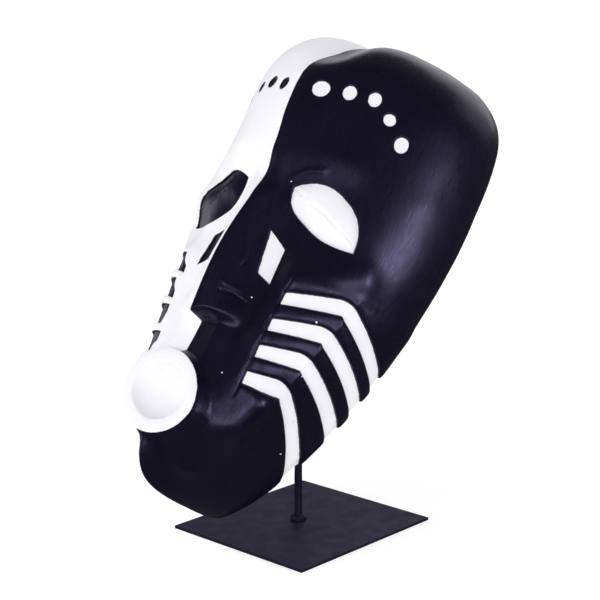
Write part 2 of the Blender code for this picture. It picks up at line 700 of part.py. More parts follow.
def plain_material(name, colour, roughness, metallic=0.0):
    material = bpy.data.materials.new(name)
    material.use_nodes = True
    shader = material.node_tree.nodes["Principled BSDF"]
    shader.inputs["Base Color"].default_value = colour
    shader.inputs["Roughness"].default_value = roughness
    shader.inputs["Metallic"].default_value = metallic
    material.diffuse_color = colour
    return material


def add_object(name, mesh, collection):
    obj = bpy.data.objects.new(name, mesh)
    collection.objects.link(obj)
    return obj


def box_mesh(name, width, depth, height):
    """A box on z = 0, centred on the origin."""
    mesh = bpy.data.meshes.new(name)
    shape = bmesh.new()
    bmesh.ops.create_cube(shape, size=1.0)
    bmesh.ops.translate(shape, verts=shape.verts, vec=(0.0, 0.0, 0.5))
    bmesh.ops.scale(shape, verts=shape.verts, vec=(width, depth, height))
    shape.to_mesh(mesh)
    shape.free()
    return mesh


def make_mask(collection):
    outlines = carvings()
    places, faces = outer_map(outlines)
    outer = carve(places, outlines)
    faces = facing_up(places, faces)
    outer_rim = rim_order(places)
    inside_places, inside_faces = triangulate(
        [rim_places()], [], grid_places(INNER_SPACING, INNER_MARGIN), INNER_CLEAR
    )
    inside = inner_surface(inside_places)
    inner_rim = rim_order(inside_places)
    count = len(outer)
    all_faces = list(faces)
    all_faces += [(a + count, c + count, b + count) for a, b, c in facing_up(inside_places, inside_faces)]
    for k in range(len(outer_rim)):
        a, b = outer_rim[k], outer_rim[(k + 1) % len(outer_rim)]
        c, d = inner_rim[k] + count, inner_rim[(k + 1) % len(inner_rim)] + count
        all_faces += [(a, c, d), (a, d, b)]
    mesh = bpy.data.meshes.new("mask")
    points = np.concatenate([outer, inside]) * UNIT
    mesh.from_pydata([tuple(p) for p in points], [], [tuple(int(i) for i in f) for f in all_faces])
    mesh.transform(mask_pose())
    mask = add_object("mask", mesh, collection)
    mesh.materials.append(plain_material("black_paint", BLACK, 0.42))
    mesh.materials.append(plain_material("white_paint", WHITE, 0.55))
    paint_faces(mesh, places, faces, outlines)
    return mask


def paint_faces(mesh, places, faces, outlines):
    """White on the -X half of the outside and on the ring, and the other colour inside each carving."""
    middles = np.array([places[list(face)].mean(axis=0) for face in faces])
    points = from_map(middles)
    white = middles[:, 0] < -line_shift(points[:, 1])
    for _, _, edge in outlines:
        white ^= depth_inside(middles, edge) > 0.0
    white |= mouth_share(points) < RING_EDGE
    for polygon, is_white in zip(mesh.polygons, white):
        polygon.material_index = int(is_white)


def make_plate(collection):
    mesh = box_mesh("base_plate", PLATE_WIDTH, PLATE_DEPTH, PLATE_THICKNESS)
    plate = add_object("base_plate", mesh, collection)
    bevel = plate.modifiers.new("edges", "BEVEL")
    bevel.width = min(PLATE_EDGE, 0.4 * PLATE_THICKNESS)
    bevel.segments = 2
    plate.data.materials.append(plain_material("black_steel", STEEL, 0.62, 0.4))
    return plate


def inner_face_above(mask, x, y):
    """Height of the mask's inner face straight above a point of the plate."""
    tree = BVHTree.FromPolygons(
        [v.co for v in mask.data.vertices], [tuple(p.vertices) for p in mask.data.polygons]
    )
    return tree.ray_cast(Vector((x, y, PLATE_THICKNESS)), Vector((0.0, 0.0, 1.0)))[0].z


def make_rod(collection, helpers, mask):
    """A square bar from the plate up into a blind socket in the mask's inner face."""
    foot = PLATE_THICKNESS + GAP
    x, y = ROD_PLACE
    socket_top = inner_face_above(mask, x, y) + SOCKET_DEPTH
    rod_mesh = box_mesh("upright_rod", ROD_SIDE, ROD_SIDE, socket_top - GAP - foot)
    rod = add_object("upright_rod", rod_mesh, collection)
    rod.location = (x, y, foot)
    rod.data.materials.append(plain_material("rod_steel", STEEL, 0.62, 0.4))
    weld_mesh = bpy.data.meshes.new("weld")
    shape = bmesh.new()
    corner = ROD_SIDE * math.sqrt(0.5)
    bmesh.ops.create_cone(
        shape, cap_ends=True, segments=12, radius1=corner + WELD_LEG, radius2=0.9 * corner, depth=WELD_HEIGHT
    )
    shape.to_mesh(weld_mesh)
    shape.free()
    weld = add_object("weld", weld_mesh, helpers)
    weld.location = (x, y, foot + 0.5 * WELD_HEIGHT)
    join = rod.modifiers.new("weld", "BOOLEAN")
    join.operation = "UNION"
    join.object = weld
    side = ROD_SIDE + 2.0 * GAP
    socket = add_object("socket_cutter", box_mesh("socket_cutter", side, side, 4.0 * SOCKET_DEPTH), helpers)
    socket.location = (x, y, socket_top - 4.0 * SOCKET_DEPTH)
    cut = mask.modifiers.new("socket", "BOOLEAN")
    cut.operation = "DIFFERENCE"
    cut.object = socket
    return rod


def main():
    for obj in list(bpy.data.objects):
        bpy.data.objects.remove(obj)
    collection = bpy.data.collections.new("african_wooden_mask")
    helpers = bpy.data.collections.new("cutters")
    bpy.context.scene.collection.children.link(collection)
    bpy.context.scene.collection.children.link(helpers)
    mask = make_mask(collection)
    make_plate(collection)
    make_rod(collection, helpers, mask)
    for helper in helpers.objects:
        helper.hide_render = True
        helper.display_type = "WIRE"


main()
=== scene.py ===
"""Carved wooden mask, half black and half white, on a flat steel plate with an upright rod.

The frame gives the plate, the rod and the plain solid of the mask. This script makes the finely carved
surface, the paint, the steel and the studio. The mask is worked out in its own frame, in units of about 1 mm:
x across, y up the plane of its rim from the chin, z out of the face.
"""

import math

import bmesh
import bpy
import numpy as np
from mathutils import Matrix, Vector, noise
from mathutils.geometry import delaunay_2d_cdt
from mathutils.kdtree import KDTree


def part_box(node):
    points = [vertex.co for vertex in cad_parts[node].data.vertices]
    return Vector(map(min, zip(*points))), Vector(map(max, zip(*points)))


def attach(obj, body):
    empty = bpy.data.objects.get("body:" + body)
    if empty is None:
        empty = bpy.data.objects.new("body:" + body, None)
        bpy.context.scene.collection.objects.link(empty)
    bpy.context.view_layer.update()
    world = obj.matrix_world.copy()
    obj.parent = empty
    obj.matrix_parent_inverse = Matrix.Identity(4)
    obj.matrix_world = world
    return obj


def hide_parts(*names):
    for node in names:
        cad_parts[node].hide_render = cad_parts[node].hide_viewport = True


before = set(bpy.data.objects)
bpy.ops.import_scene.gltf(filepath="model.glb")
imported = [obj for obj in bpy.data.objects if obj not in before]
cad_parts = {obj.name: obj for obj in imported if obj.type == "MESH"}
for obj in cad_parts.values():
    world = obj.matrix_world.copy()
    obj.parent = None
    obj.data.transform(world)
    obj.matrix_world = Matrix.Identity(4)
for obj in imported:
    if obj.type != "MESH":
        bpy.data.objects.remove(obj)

# Driving sizes, in metres, as the solids have them
MASK_HEIGHT = 0.3195
MASK_HALF_WIDTH = 0.0985
MASK_DEPTH = 0.086
WALL = 0.009
ROD_SIDE = 0.0042
RIM_ROUNDING = 0.0018
RIM_BEVEL = 0.008
LEAN_BACK = math.radians(32.0)
TILT = math.radians(2.37)
TURN = math.radians(-2.93)
CHIN_PLACE = Vector((-0.0046, -0.0768, 0.0222))

UNITS_HIGH = 319.5
UNIT = MASK_HEIGHT / UNITS_HIGH
HALF = MASK_HALF_WIDTH / UNIT
DEPTH = MASK_DEPTH / UNIT
WALL_UNITS = WALL / UNIT
ROUNDING = RIM_ROUNDING / UNIT
BEVEL = RIM_BEVEL / UNIT

# Outline and profile: heights where the sides and the front begin to turn in, and the notch between two lobes
WIDEST = 221.0
CHIN_SHOULDER = 60.0
CROWN_SHOULDER = 240.0
NOTCH_DEPTH = 26.0
NOTCH_WIDTH = 16.0
NOTCH_PLACE = 1.5
NOTCH_FROM = 264.0
NOTCH_RUN = 34.0
NOTCH_FADE = 2.5
LOBE_LEAN = {1: 4.2, -1: 4.3}
LOBE_HALF = 60.0
CHIN_TAPER = (1.77, 1.45)
CROWN_CURVE = 3.4
CHIN_FRONT_TAPER = (4.5, 4.5)
CROWN_FRONT_CURVE = 3.4

# How square the sections are: 2 is an ellipse, and under 2 the chin narrows to a keel
FULLNESS = 2.05
JAW_FULLNESS = 0.75
JAW_RUN = 85.0
KEEL = 1.25
KEEL_FROM = 55.0
KEEL_RUN = 35.0

# Carving as (degrees round from the mid-line, height). A pair is by side: 1 is the black half, -1 the white
DOTS = {
    1: ((10.6, 262.3, 6.6, 6.1), (23.4, 264.5, 5.3, 5.7), (34.3, 265.0, 5.0, 5.5), (42.8, 256.0, 4.7, 4.5),
        (50.5, 244.2, 5.2, 5.6)),
    -1: ((11.0, 263.1, 4.7, 4.6), (22.0, 265.3, 4.9, 4.6), (32.0, 263.6, 4.4, 4.3), (43.5, 257.5, 4.2, 3.9),
         (50.5, 244.5, 4.7, 5.0)),
}
DOT_DEPTH = 1.0
EYE_INNER = {1: (15.0, 200.5), -1: (13.0, 200.5)}
EYE_OUTER = {1: (50.9, 172.2), -1: (46.5, 165.0)}
EYE_HALF_HEIGHT = {1: 16.3, -1: 17.8}
EYE_EDGE = 2.0
EYE_BULGE = 4.4
EYE_ROUNDNESS = 2.6
LID_LINE_DEPTH = 0.35
LID_LINE_HALF = 0.7
MARK = {
    1: ((12.2, 171.5), (22.9, 162.0), (24.2, 137.8), (15.2, 142.8)),
    -1: ((15.5, 166.0), (23.8, 161.0), (23.8, 139.0), (16.7, 144.4)),
}
MARK_DEPTH = 1.3
STRIPES = 4
STRIPE_START = {1: (33.0, 132.0), -1: (30.6, 138.8)}
STRIPE_START_STEP = {1: (-0.5, -17.0), -1: (-0.8, -17.8)}
STRIPE_SLANTS = {1: (0.0, 0.0, 0.0, 0.0), -1: (1.6, 1.2, 0.0, -0.7)}
STRIPE_KNEE = (56.5, 141.5)
STRIPE_KNEE_STEP = (-2.9, -19.3)
STRIPE_RIM_HEIGHTS = (112.0, 94.0, 74.0, 43.0)
STRIPE_WIDTHS = {1: (8.2, 10.5), -1: (13.5, 11.5)}
STRIPE_RIM_WIDTHS = (8.2, 9.6, 10.5, 12.0)
STRIPE_SAGS = (0.0, 0.0, 0.5, 3.5)
KNEE_ROUNDING = 6.5
STRIPE_DEPTH = 1.9
BAR_ROUNDING = 0.75
BAR_SHOULDER = 3.6
PAST_RIM = 96.0
PANEL_LIFT = 1.0
PANEL_STEP = 1.3
PANEL_CUT = (0.7, 0.8)
PANEL_BEND = (1.6, 14.0)
PANEL_FOOT = (64.0, 10.0)
PANEL_HEAD = (153.0, 8.0)
KNEE_RISE = 1.5
KNEE_SPREAD = 7.0
KNEE_CREASE = ((59.8, 148.0), (57.6, 134.0), (53.8, 113.0), (51.0, 96.0), (47.5, 78.0))

# Scored lines and narrow ridges as (lift, half width, sides, path), pits and specks of bare wood or dust
FINE_LINES = (
    (-0.45, 0.65, (1, -1), ((2.4, 194.0), (5.5, 178.9), (7.7, 163.1), (9.4, 143.6))),
    (-0.30, 0.60, (1, -1), ((4.2, 195.0), (6.9, 180.0), (9.3, 164.5))),
    (-1.30, 1.20, (1, -1), ((8.0, 124.2), (12.0, 124.8), (16.5, 123.2))),
    (0.70, 2.20, (1, -1), ((8.0, 129.6), (12.0, 129.2))),
    (0.70, 2.20, (1,), ((13.3, 204.4), (18.8, 210.0), (26.5, 213.0))),
    (-0.70, 0.60, (1,), ((16.0, 200.0), (21.4, 195.4))),
    (-0.30, 0.55, (1,), ((28.0, 191.6), (39.9, 184.4), (49.0, 177.5))),
)
PITS = ((26.6, 192.6, 0.9, 0.8), (62.4, 70.4, 1.2, 1.3), (52.6, 95.2, 1.0, 1.1))
SPECKS = (
    (65.6, 51.4, 0.60), (66.2, 133.3, 0.50), (18.3, 127.7, 0.55), (-10.1, 123.6, 0.45), (48.5, 127.0, 0.50),
    (21.8, 78.8, 0.45), (13.2, 202.5, 0.50), (52.6, 95.6, 0.50),
)

# Broad hollows as (depth, middle across and up, half sizes), and rounded ridges as (rise, half width, path)
HOLLOWS = (
    (8.5, (30.0, 145.0), (24.0, 52.0)),
    (6.0, (33.0, 92.0), (19.0, 46.0)),
    (6.0, (0.0, 108.0), (42.0, 62.0)),
    (3.2, (0.0, 204.0), (16.0, 17.0)),
)
WHITE_SIDE_HOLLOWS = (
    (3.0, (-66.0, 235.0), (36.0, 50.0)),
    (-2.5, (-74.0, 186.0), (30.0, 18.0)),
    (4.5, (-60.0, 158.0), (34.0, 30.0)),
    (2.2, (-56.0, 120.0), (34.0, 62.0)),
)
EYE_SOCKET_DEPTH = 7.0
BROW_EDGE = (226.0, 30.0)
SOCKET_FOOT = (140.0, 45.0)
SOCKET_NOSE_SIDE = (3.0, 14.0)
SOCKET_TEMPLE_SIDE = (78.0, 34.0)
RIDGES = (
    (2.6, 10.0, ((34.0, 146.5), (42.0, 152.0), (50.0, 156.0), (58.0, 161.0))),
    (6.0, 9.0, ((13.0, 26.0), (20.0, 31.0), (28.0, 38.5), (34.0, 50.0), (41.0, 70.0))),
    (3.0, 20.0, ((0.0, 245.0), (0.0, 270.0))),
)

# Nose, as a ridge from the brows to the tip, with a flat cut below it
NOSE_TOP = 204.0
NOSE_TIP = 107.0
NOSE_TOP_RISE = -5.2
NOSE_TIP_RISE = 6.8
NOSE_BOW = 6.4
NOSE_TOP_HALF = 4.0
NOSE_TIP_HALF = 24.0
NOSE_TOP_FALL = 5.0
NOSE_TIP_FALL = 14.0
NOSE_FLARE = 1.8
NOSE_ROUNDING = 1.5
NOSE_CREASE = 1.2
NOSE_REACH = (70.0, 20.0)
NOSE_UNDER = 3.0
NOSE_ARCH = 6.5
NOSE_ARCH_RUN = 8.0
NOSE_SIDE_UNDER = 4.5
NOSE_BLEND = 12.0
NOSE_EDGE_REACH = 1.5
NOSE_EDGE_POINTS = 60
NOSE_EDGE_DROPS = (-0.8, 0.0, 0.35, 0.75, 1.15, 1.5, 1.85, 2.25, 2.65, 3.0, 3.6)
WING_PLACE = (21.0, 115.0)
WING_SIZE = (8.5, 9.0)
WING_RISE = 1.4

# Mouth: a block with a flat ring of even width round a bowl. A profile row is (share of the way out on the
# plain surface, share on the block where 1 is the ring's edge, height over the ring's face as a share of the
# bowl's depth)
MOUTH_PLACE = (-0.8, 56.0)
MOUTH_HALF = (32.4, 26.4)
MOUTH_TURN = math.radians(-8.0)
MOUTH_POWER = 1.88
MOUTH_FACE_RISE = 2.5
RING_WIDTH = 8.6
BOWL_RIM = 0.80
BOWL_DEPTH = 12.0
MOUTH_PROFILE = (
    (0.00, 0.00, -1.00), (0.22, 0.25, -0.95), (0.40, 0.46, -0.82), (0.53, 0.62, -0.62), (0.61, 0.71, -0.40),
    (0.66, 0.765, -0.18), (0.70, 0.79, -0.04), (0.74, 0.81, 0.00), (0.90, 0.94, 0.00), (0.97, 0.99, -0.05),
    (1.02, 1.00, -0.20),
)
RING_EDGE = 0.98
MOUTH_ROOT = 1.18
MOUTH_ROOT_RADIUS = 1.10
MOUTH_REACH = 1.40
MOUTH_FOOT_ROWS = (1.06, 1.12, MOUTH_ROOT, 1.24, MOUTH_REACH)
NOT_IN_MOUTH = 9.0
BOWL_BACK_REACH = 1.61
FORWARD = 0.3 * DEPTH

# The line between the colours runs down the middle, and bends to the white side at the chin and the crown
LINE_SHIFT = 12.0
LINE_SHIFT_FROM = 44.0
LINE_SHIFT_RUN = 24.0
CROWN_LINE_SHIFT = 3.5
CROWN_LINE_FROM = 222.0
CROWN_LINE_RUN = 40.0
LINE_END_GAP = 6.0

# The flat map's half sizes and middle, and how finely the mesh follows it
WRAP_RADIUS = 145.0
LENGTH_RADIUS = 225.0
CENTRE_HEIGHT = 150.0
CENTRE = np.array([0.0, CENTRE_HEIGHT, 0.0])
LAST_SHARE = 0.985
LEAST_FACING = 0.35
BISECTIONS = 40
NORMAL_STEP = 0.4
RIM_POINTS = 900
RIM_ROWS = (0.0, 0.15, 0.32, 0.55, 0.78, 1.0)
RIM_CURVE = 1.2
INNER_RIM_ROWS = (0.0, 0.7, 1.4, 2.0)
WALL_ROWS = (0.2, 0.5, 0.8)
OUTER_SPACING = 2.1
DETAIL_SPACING = 1.3
INNER_SPACING = 2.8
LINE_SPACING = 1.3
EDGE_STEPS = (-0.35, 0.0, 0.35, 0.75, 1.15)
LINE_ROWS = (-1.3, -0.6, 0.0, 0.6, 1.3)
BORDER_ROWS = (-1.0, -0.5, 0.0, 0.5, 1.0)
CREASE_ROWS = (-0.7, 0.0, 0.7)
CORNER_STEPS = 8
LEAST_MITRE = 0.4
LID_LINE_ENDS = 0.06
NOSE_DETAIL = (32.0, 98.0, 212.0)
EYE_DETAIL = 4.0
SHARP_ANGLE = math.radians(60.0)
RIM_CLEAR = 0.3
NEAR_EDGE = 6.0
STRIPE_POINTS = 30
MARK_STEP = 0.1
EYE_POINTS = 72
DOT_POINTS = 28
SPECK_EDGE = 0.3
SPECK_POINTS = 8
WALL_FROM = -0.15
WALL_RUN = 0.95

# Where the paint ends inside a carved edge, by side, and its value behind the mask
PAINT_INSET = {1: 0.6, -1: 0.1}
PAINT_BEHIND = -2.0

# Marks of the knife and the gouge
HAND_WAVE = 0.22
HAND_WAVE_SIZE = 16.0
KNIFE_WAVE = 0.05
KNIFE_WAVE_SIZE = 5.0
BOWL_MARK_DEPTH = 0.35
BOWL_MARKS = 26.0
BOWL_MARK_TURN = (-0.75, 1.3)
BOWL_MARK_SHARES = (0.25, 0.62, 0.15)
BOWL_MARK_WANDER = (0.12, 9.0)
BOWL_MARK_LAYER = 3.0
GOUGE_DEPTH = 0.55
GOUGE_SIZE = (11.0, 26.0)
GOUGE_SHIFT = (0.37, 0.2, 1.7)
GOUGE_ROUNDING = (2.2, 1.4)
GOUGE_FADE = 8.0
ARRIS = 0.6


def smooth(u):
    u = np.clip(u, 0.0, 1.0)
    return u * u * (3.0 - 2.0 * u)


def dome(u2):
    return np.clip(1.0 - u2, 0.0, 1.0) ** 2


def bell(distance, width):
    return np.exp(-((distance / width) ** 2))


def unit(vectors):
    return vectors / np.linalg.norm(vectors, axis=1)[:, None]


def to_left(edges):
    along = unit(edges)
    return np.stack([-along[:, 1], along[:, 0]], -1)


def noise_at(points):
    return np.array([noise.noise(Vector(p)) for p in points])


# The plain surface: sections across the mask are superellipses over its outline and profile
def tapered(size, y, chin_from, crown_from, chin_taper, crown_curve):
    """A size that rounds down to nothing at the chin and at the crown."""
    low = np.clip((chin_from - y) / chin_from, 0.0, 1.0)
    high = np.clip((y - crown_from) / (UNITS_HIGH - crown_from), 0.0, 1.0)
    chin = (1.0 - low ** chin_taper[0]) ** (1.0 / chin_taper[1])
    return size * chin * (1.0 - high**crown_curve) ** (1.0 / crown_curve)


def half_width(y):
    return tapered(HALF, y, WIDEST, WIDEST, CHIN_TAPER, CROWN_CURVE)


def front(y):
    return tapered(DEPTH, y, CHIN_SHOULDER, CROWN_SHOULDER, CHIN_FRONT_TAPER, CROWN_FRONT_CURVE)


def fullness(y):
    jaw = JAW_FULLNESS * bell(y - CHIN_SHOULDER, JAW_RUN)
    return FULLNESS + jaw - KEEL * smooth((KEEL_FROM - y) / KEEL_RUN)


def outside(p):
    """True where a point lies outside the plain surface."""
    x, y, z = p[..., 0], p[..., 1], p[..., 2]
    near_top = smooth((y - NOTCH_FROM) / NOTCH_RUN)
    to_front = np.clip(z / DEPTH, 0.0, 1.0) ** NOTCH_FADE
    notch = NOTCH_DEPTH * bell(x - NOTCH_PLACE, NOTCH_WIDTH) * to_front
    lean = np.where(x > 0.0, LOBE_LEAN[1], LOBE_LEAN[-1]) * np.clip(x / LOBE_HALF, -1.0, 1.0)
    height = y + (notch + lean) * near_top
    inner = np.clip(height, 1e-3, UNITS_HIGH - 1e-3)
    power = fullness(inner)
    across = (np.abs(x) / half_width(inner)) ** power
    out = (np.abs(z) / front(inner)) ** power
    return (across + out > 1.0) | (height >= UNITS_HIGH) | (height <= 0.0)


# A flat map of the surface: directions from a point on the rim plane, laid out round an oval
def oval_radius(angle):
    return 1.0 / np.sqrt((np.cos(angle) / WRAP_RADIUS) ** 2 + (np.sin(angle) / LENGTH_RADIUS) ** 2)


def round_place(radius, angle):
    return np.stack([radius * np.cos(angle), radius * np.sin(angle)], -1)


def polar(places):
    """Angle and length of places on the flat map, and the oval's radius there."""
    angle = np.arctan2(places[:, 1], places[:, 0])
    return angle, np.hypot(places[:, 0], places[:, 1]), oval_radius(angle)


def to_map(points):
    x, y, z = points[..., 0], points[..., 1] - CENTRE_HEIGHT, points[..., 2]
    angle = np.arctan2(y, x)
    rise = np.arctan2(z, np.hypot(x, y))
    return round_place(oval_radius(angle) * (1.0 - rise / (math.pi / 2)), angle)


def from_map(places):
    """Points of the plain surface at places on the flat map."""
    angle, length, edge = polar(places)
    share = np.minimum(length / edge, 1.0)
    rise = (1.0 - share) * math.pi / 2
    way = np.stack([np.cos(rise) * np.cos(angle), np.cos(rise) * np.sin(angle), np.sin(rise)], -1)
    low = np.ones(len(places))
    high = np.full(len(places), 2.0 * UNITS_HIGH)
    for _ in range(BISECTIONS):
        middle = 0.5 * (low + high)
        beyond = outside(CENTRE + middle[:, None] * way)
        high = np.where(beyond, middle, high)
        low = np.where(beyond, low, middle)
    points = CENTRE + low[:, None] * way
    points[share > 1.0 - 1e-9, 2] = 0.0
    return points


def normals_of(places):
    """Outward normals of the plain surface, from neighbouring points on the flat map."""
    _, length, edge = polar(places)
    share = length / edge
    held = places * (np.minimum(share, LAST_SHARE) / np.maximum(share, 1e-9))[:, None]
    right = from_map(held + (NORMAL_STEP, 0.0)) - from_map(held - (NORMAL_STEP, 0.0))
    up = from_map(held + (0.0, NORMAL_STEP)) - from_map(held - (0.0, NORMAL_STEP))
    normal = np.cross(right, up)
    at_rim = share > LAST_SHARE
    normal[at_rim, 2] *= np.clip((1.0 - share[at_rim]) / (1.0 - LAST_SHARE), 0.0, 1.0)
    return unit(normal)


def section_point(degrees, y):
    """The plain surface at an angle round from the mid-line, at a height."""
    turn = np.radians(90.0 - np.asarray(degrees, float))
    y = np.asarray(y, float)
    power = fullness(y)
    across = (np.abs(np.cos(turn)) / half_width(y)) ** power
    out = (np.abs(np.sin(turn)) / front(y)) ** power
    radius = (across + out) ** (-1.0 / power)
    return np.stack([radius * np.cos(turn), np.broadcast_to(y, radius.shape), radius * np.sin(turn)], -1)


def face_height(x, y):
    """Height of the plain surface over the rim plane, where it faces forward."""
    power = fullness(y)
    across = np.clip(np.abs(x) / half_width(y), 0.0, 0.999) ** power
    return front(y) * (1.0 - across) ** (1.0 / power)


# Outlines of the carving on the flat map, for one side
def with_points(places, closed=True):
    """The same outline with points added so that none are further apart than the line spacing."""
    found = []
    ends = np.roll(places, -1, 0) if closed else places[1:]
    for a, b in zip(places, ends):
        steps = max(1, math.ceil(np.linalg.norm(b - a) / LINE_SPACING))
        found.extend(a + (b - a) * k / steps for k in range(steps))
    if not closed:
        found.append(places[-1])
    return np.array(found)


def section_outline(points, side):
    degrees, heights = np.array(points, float).T
    return to_map(section_point(side * degrees, heights))


def per_degree():
    """About how far one degree is round the side of the mask."""
    return math.pi * HALF / 180.0


def panel_border(y, side):
    """Degrees at which the striped panel begins, at a height: it follows the inner ends of the stripes."""
    start = np.array([STRIPE_START[1], STRIPE_START[-1]])
    step = np.array([STRIPE_START_STEP[1], STRIPE_START_STEP[-1]])
    pick = np.where(np.asarray(side) > 0.0, 0, 1)
    top = start[pick, 1]
    through_starts = start[pick, 0] + step[pick, 0] / step[pick, 1] * (np.minimum(y, top) - top)
    return through_starts + PANEL_BEND[0] * np.clip((y - top) / PANEL_BEND[1], 0.0, 2.0)


def fine_lines():
    """Each scored line or narrow ridge on the flat map: (lift, half width, points)."""
    found = []
    for rise, width, sides, path in FINE_LINES:
        for side in sides:
            found.append((rise, width, with_points(section_outline(path, side), closed=False)))
    return found


def mark_outline(side):
    corners = np.array(MARK[side] + MARK[side][:1])
    steps = np.arange(0.0, 1.0, MARK_STEP)
    points = [a + (b - a) * u for a, b in zip(corners[:-1], corners[1:]) for u in steps]
    return section_outline(points, side)


def rounded_corner(edge, corner, reach):
    """The edge with the points near one of its points replaced by a curve."""
    middle = np.array(edge[corner])
    away = np.linalg.norm((np.array(edge) - middle) * (per_degree(), 1.0), axis=1)
    before = [place for place, gap in zip(edge[:corner], away[:corner]) if gap > reach]
    after = [place for place, gap in zip(edge[corner:], away[corner:]) if gap > reach]
    a, b = np.array(before[-1]), np.array(after[0])
    steps = np.arange(1, CORNER_STEPS) / CORNER_STEPS
    curve = [(1.0 - u) ** 2 * a + 2.0 * u * (1.0 - u) * middle + u**2 * b for u in steps]
    return before + [tuple(place) for place in curve] + after


def stripe_outline(index, side):
    start = np.array(STRIPE_START[side]) + index * np.array(STRIPE_START_STEP[side])
    knee = np.array(STRIPE_KNEE) + index * np.array(STRIPE_KNEE_STEP)
    rim = np.array((90.0, STRIPE_RIM_HEIGHTS[index]))
    run_out = (PAST_RIM - knee[0]) / (90.0 - knee[0])
    edges = []
    for way in (1.0, -1.0):
        edge = []
        for k in range(STRIPE_POINTS):
            u = k / (STRIPE_POINTS - 1)
            width = STRIPE_WIDTHS[side][0] + u * (STRIPE_WIDTHS[side][1] - STRIPE_WIDTHS[side][0])
            middle = start + u * (knee - start)
            slant = way * (1.0 - u) * STRIPE_SLANTS[side][index]
            edge.append((middle[0] + slant, middle[1] + 0.5 * way * width))
        slope = (rim[1] - knee[1]) / ((rim[0] - knee[0]) * per_degree())
        lean = math.hypot(1.0, slope)
        for k in range(1, STRIPE_POINTS + 1):
            u = k / STRIPE_POINTS * run_out
            width = STRIPE_WIDTHS[side][1] + u * (STRIPE_RIM_WIDTHS[index] - STRIPE_WIDTHS[side][1])
            middle = knee + u * (rim - knee) - (0.0, STRIPE_SAGS[index] * math.sin(math.pi * u))
            edge.append((middle[0], middle[1] + 0.5 * way * width * lean))
        edges.append(edge)
    upper = rounded_corner(edges[0], STRIPE_POINTS - 1, KNEE_ROUNDING)
    return section_outline(upper + edges[1][::-1], side)


def eye_axis(side):
    inner = section_point(side * EYE_INNER[side][0], EYE_INNER[side][1])
    outer = section_point(side * EYE_OUTER[side][0], EYE_OUTER[side][1])
    return to_map(inner), to_map(outer)


def eye_outline(side):
    a, b = eye_axis(side)
    along = b - a
    across = np.array([-along[1], along[0]]) / np.linalg.norm(along) * side
    places = []
    for k in range(EYE_POINTS):
        turn = 2.0 * math.pi * k / EYE_POINTS
        u = 0.5 - 0.5 * math.cos(turn)
        bow = (1.0 - abs(2.0 * u - 1.0) ** EYE_ROUNDNESS) * EYE_HALF_HEIGHT[side]
        places.append(a + u * along + across * bow * (1.0 if turn < math.pi else -1.0))
    return np.array(places)


def dot_outline(dot, side, count=DOT_POINTS):
    """A spot whose half width and half height are true sizes on the curved surface."""
    degrees, height, half_across, half_up = dot
    middle = section_point(degrees, height)
    one_round = np.linalg.norm(section_point(degrees + 1.0, height) - middle)
    one_up = np.linalg.norm(section_point(degrees, height + 1.0) - middle)
    turns = np.arange(count) * 2.0 * math.pi / count
    round_from_middle = degrees + half_across / one_round * np.cos(turns)
    return to_map(section_point(side * round_from_middle, height + half_up / one_up * np.sin(turns)))


def inset(places, distance):
    """The outline moved inward by a distance, or outward by minus it."""
    before, after = np.roll(places, 1, 0), np.roll(places, -1, 0)
    area = np.sum(before[:, 0] * places[:, 1] - before[:, 1] * places[:, 0])
    turn = 1.0 if area > 0 else -1.0

    n1, n2 = to_left(places - before) * turn, to_left(after - places) * turn
    middle = unit(n1 + n2)
    reach = distance / np.maximum(np.sum(middle * n1, axis=1), LEAST_MITRE)
    return places + middle * reach[:, None]


def held_inside(places):
    """The places, with those too near the rim moved away from it."""
    _, length, edge = polar(places)
    return places * np.minimum(1.0, (edge - RIM_CLEAR) / np.maximum(length, 1e-9))[:, None]


def distance_to_line(points, line, closed=True):
    best = np.full(len(points), 1e9)
    ends = np.roll(line, -1, 0) if closed else line[1:]
    for a, b in zip(line, ends):
        edge = b - a
        u = np.clip(((points - a) @ edge) / max(edge @ edge, 1e-12), 0.0, 1.0)
        best = np.minimum(best, np.linalg.norm(points - a - u[:, None] * edge, axis=1))
    return best


def depth_inside(points, places):
    """Distance of each point inside an outline, and minus the distance outside it, up to a limit."""
    reach = np.full(len(points), -NEAR_EDGE)
    near = np.all((points > places.min(0) - NEAR_EDGE) & (points < places.max(0) + NEAR_EDGE), axis=1)
    mine = points[near]
    inside = np.zeros(len(mine), bool)
    for a, b in zip(places, np.roll(places, -1, 0)):
        edge = b - a
        crosses = (a[1] > mine[:, 1]) != (b[1] > mine[:, 1])
        rise = edge[1] if edge[1] != 0.0 else 1.0
        inside ^= crosses & (mine[:, 0] < a[0] + (mine[:, 1] - a[1]) * edge[0] / rise)
    best = distance_to_line(mine, places)
    reach[near] = np.where(inside, best, -best)
    return reach


def carvings():
    """Every outline that is carved and painted in the other colour: (kind, side, outline)."""
    found = []
    for side in (1, -1):
        for index in range(STRIPES):
            found.append(("stripe", side, stripe_outline(index, side)))
        found.append(("eye", side, eye_outline(side)))
        found.append(("mark", side, mark_outline(side)))
        for dot in DOTS[side]:
            found.append(("dot", side, dot_outline(dot, side)))
    return [(kind, side, with_points(edge)) for kind, side, edge in found]


# Broad modelling of the face, as a lift of the surface
def sunk_place(across, y, hollow):
    depth, middle, half = hollow
    return depth * dome(((across - middle[0]) / half[0]) ** 2 + ((y - middle[1]) / half[1]) ** 2)


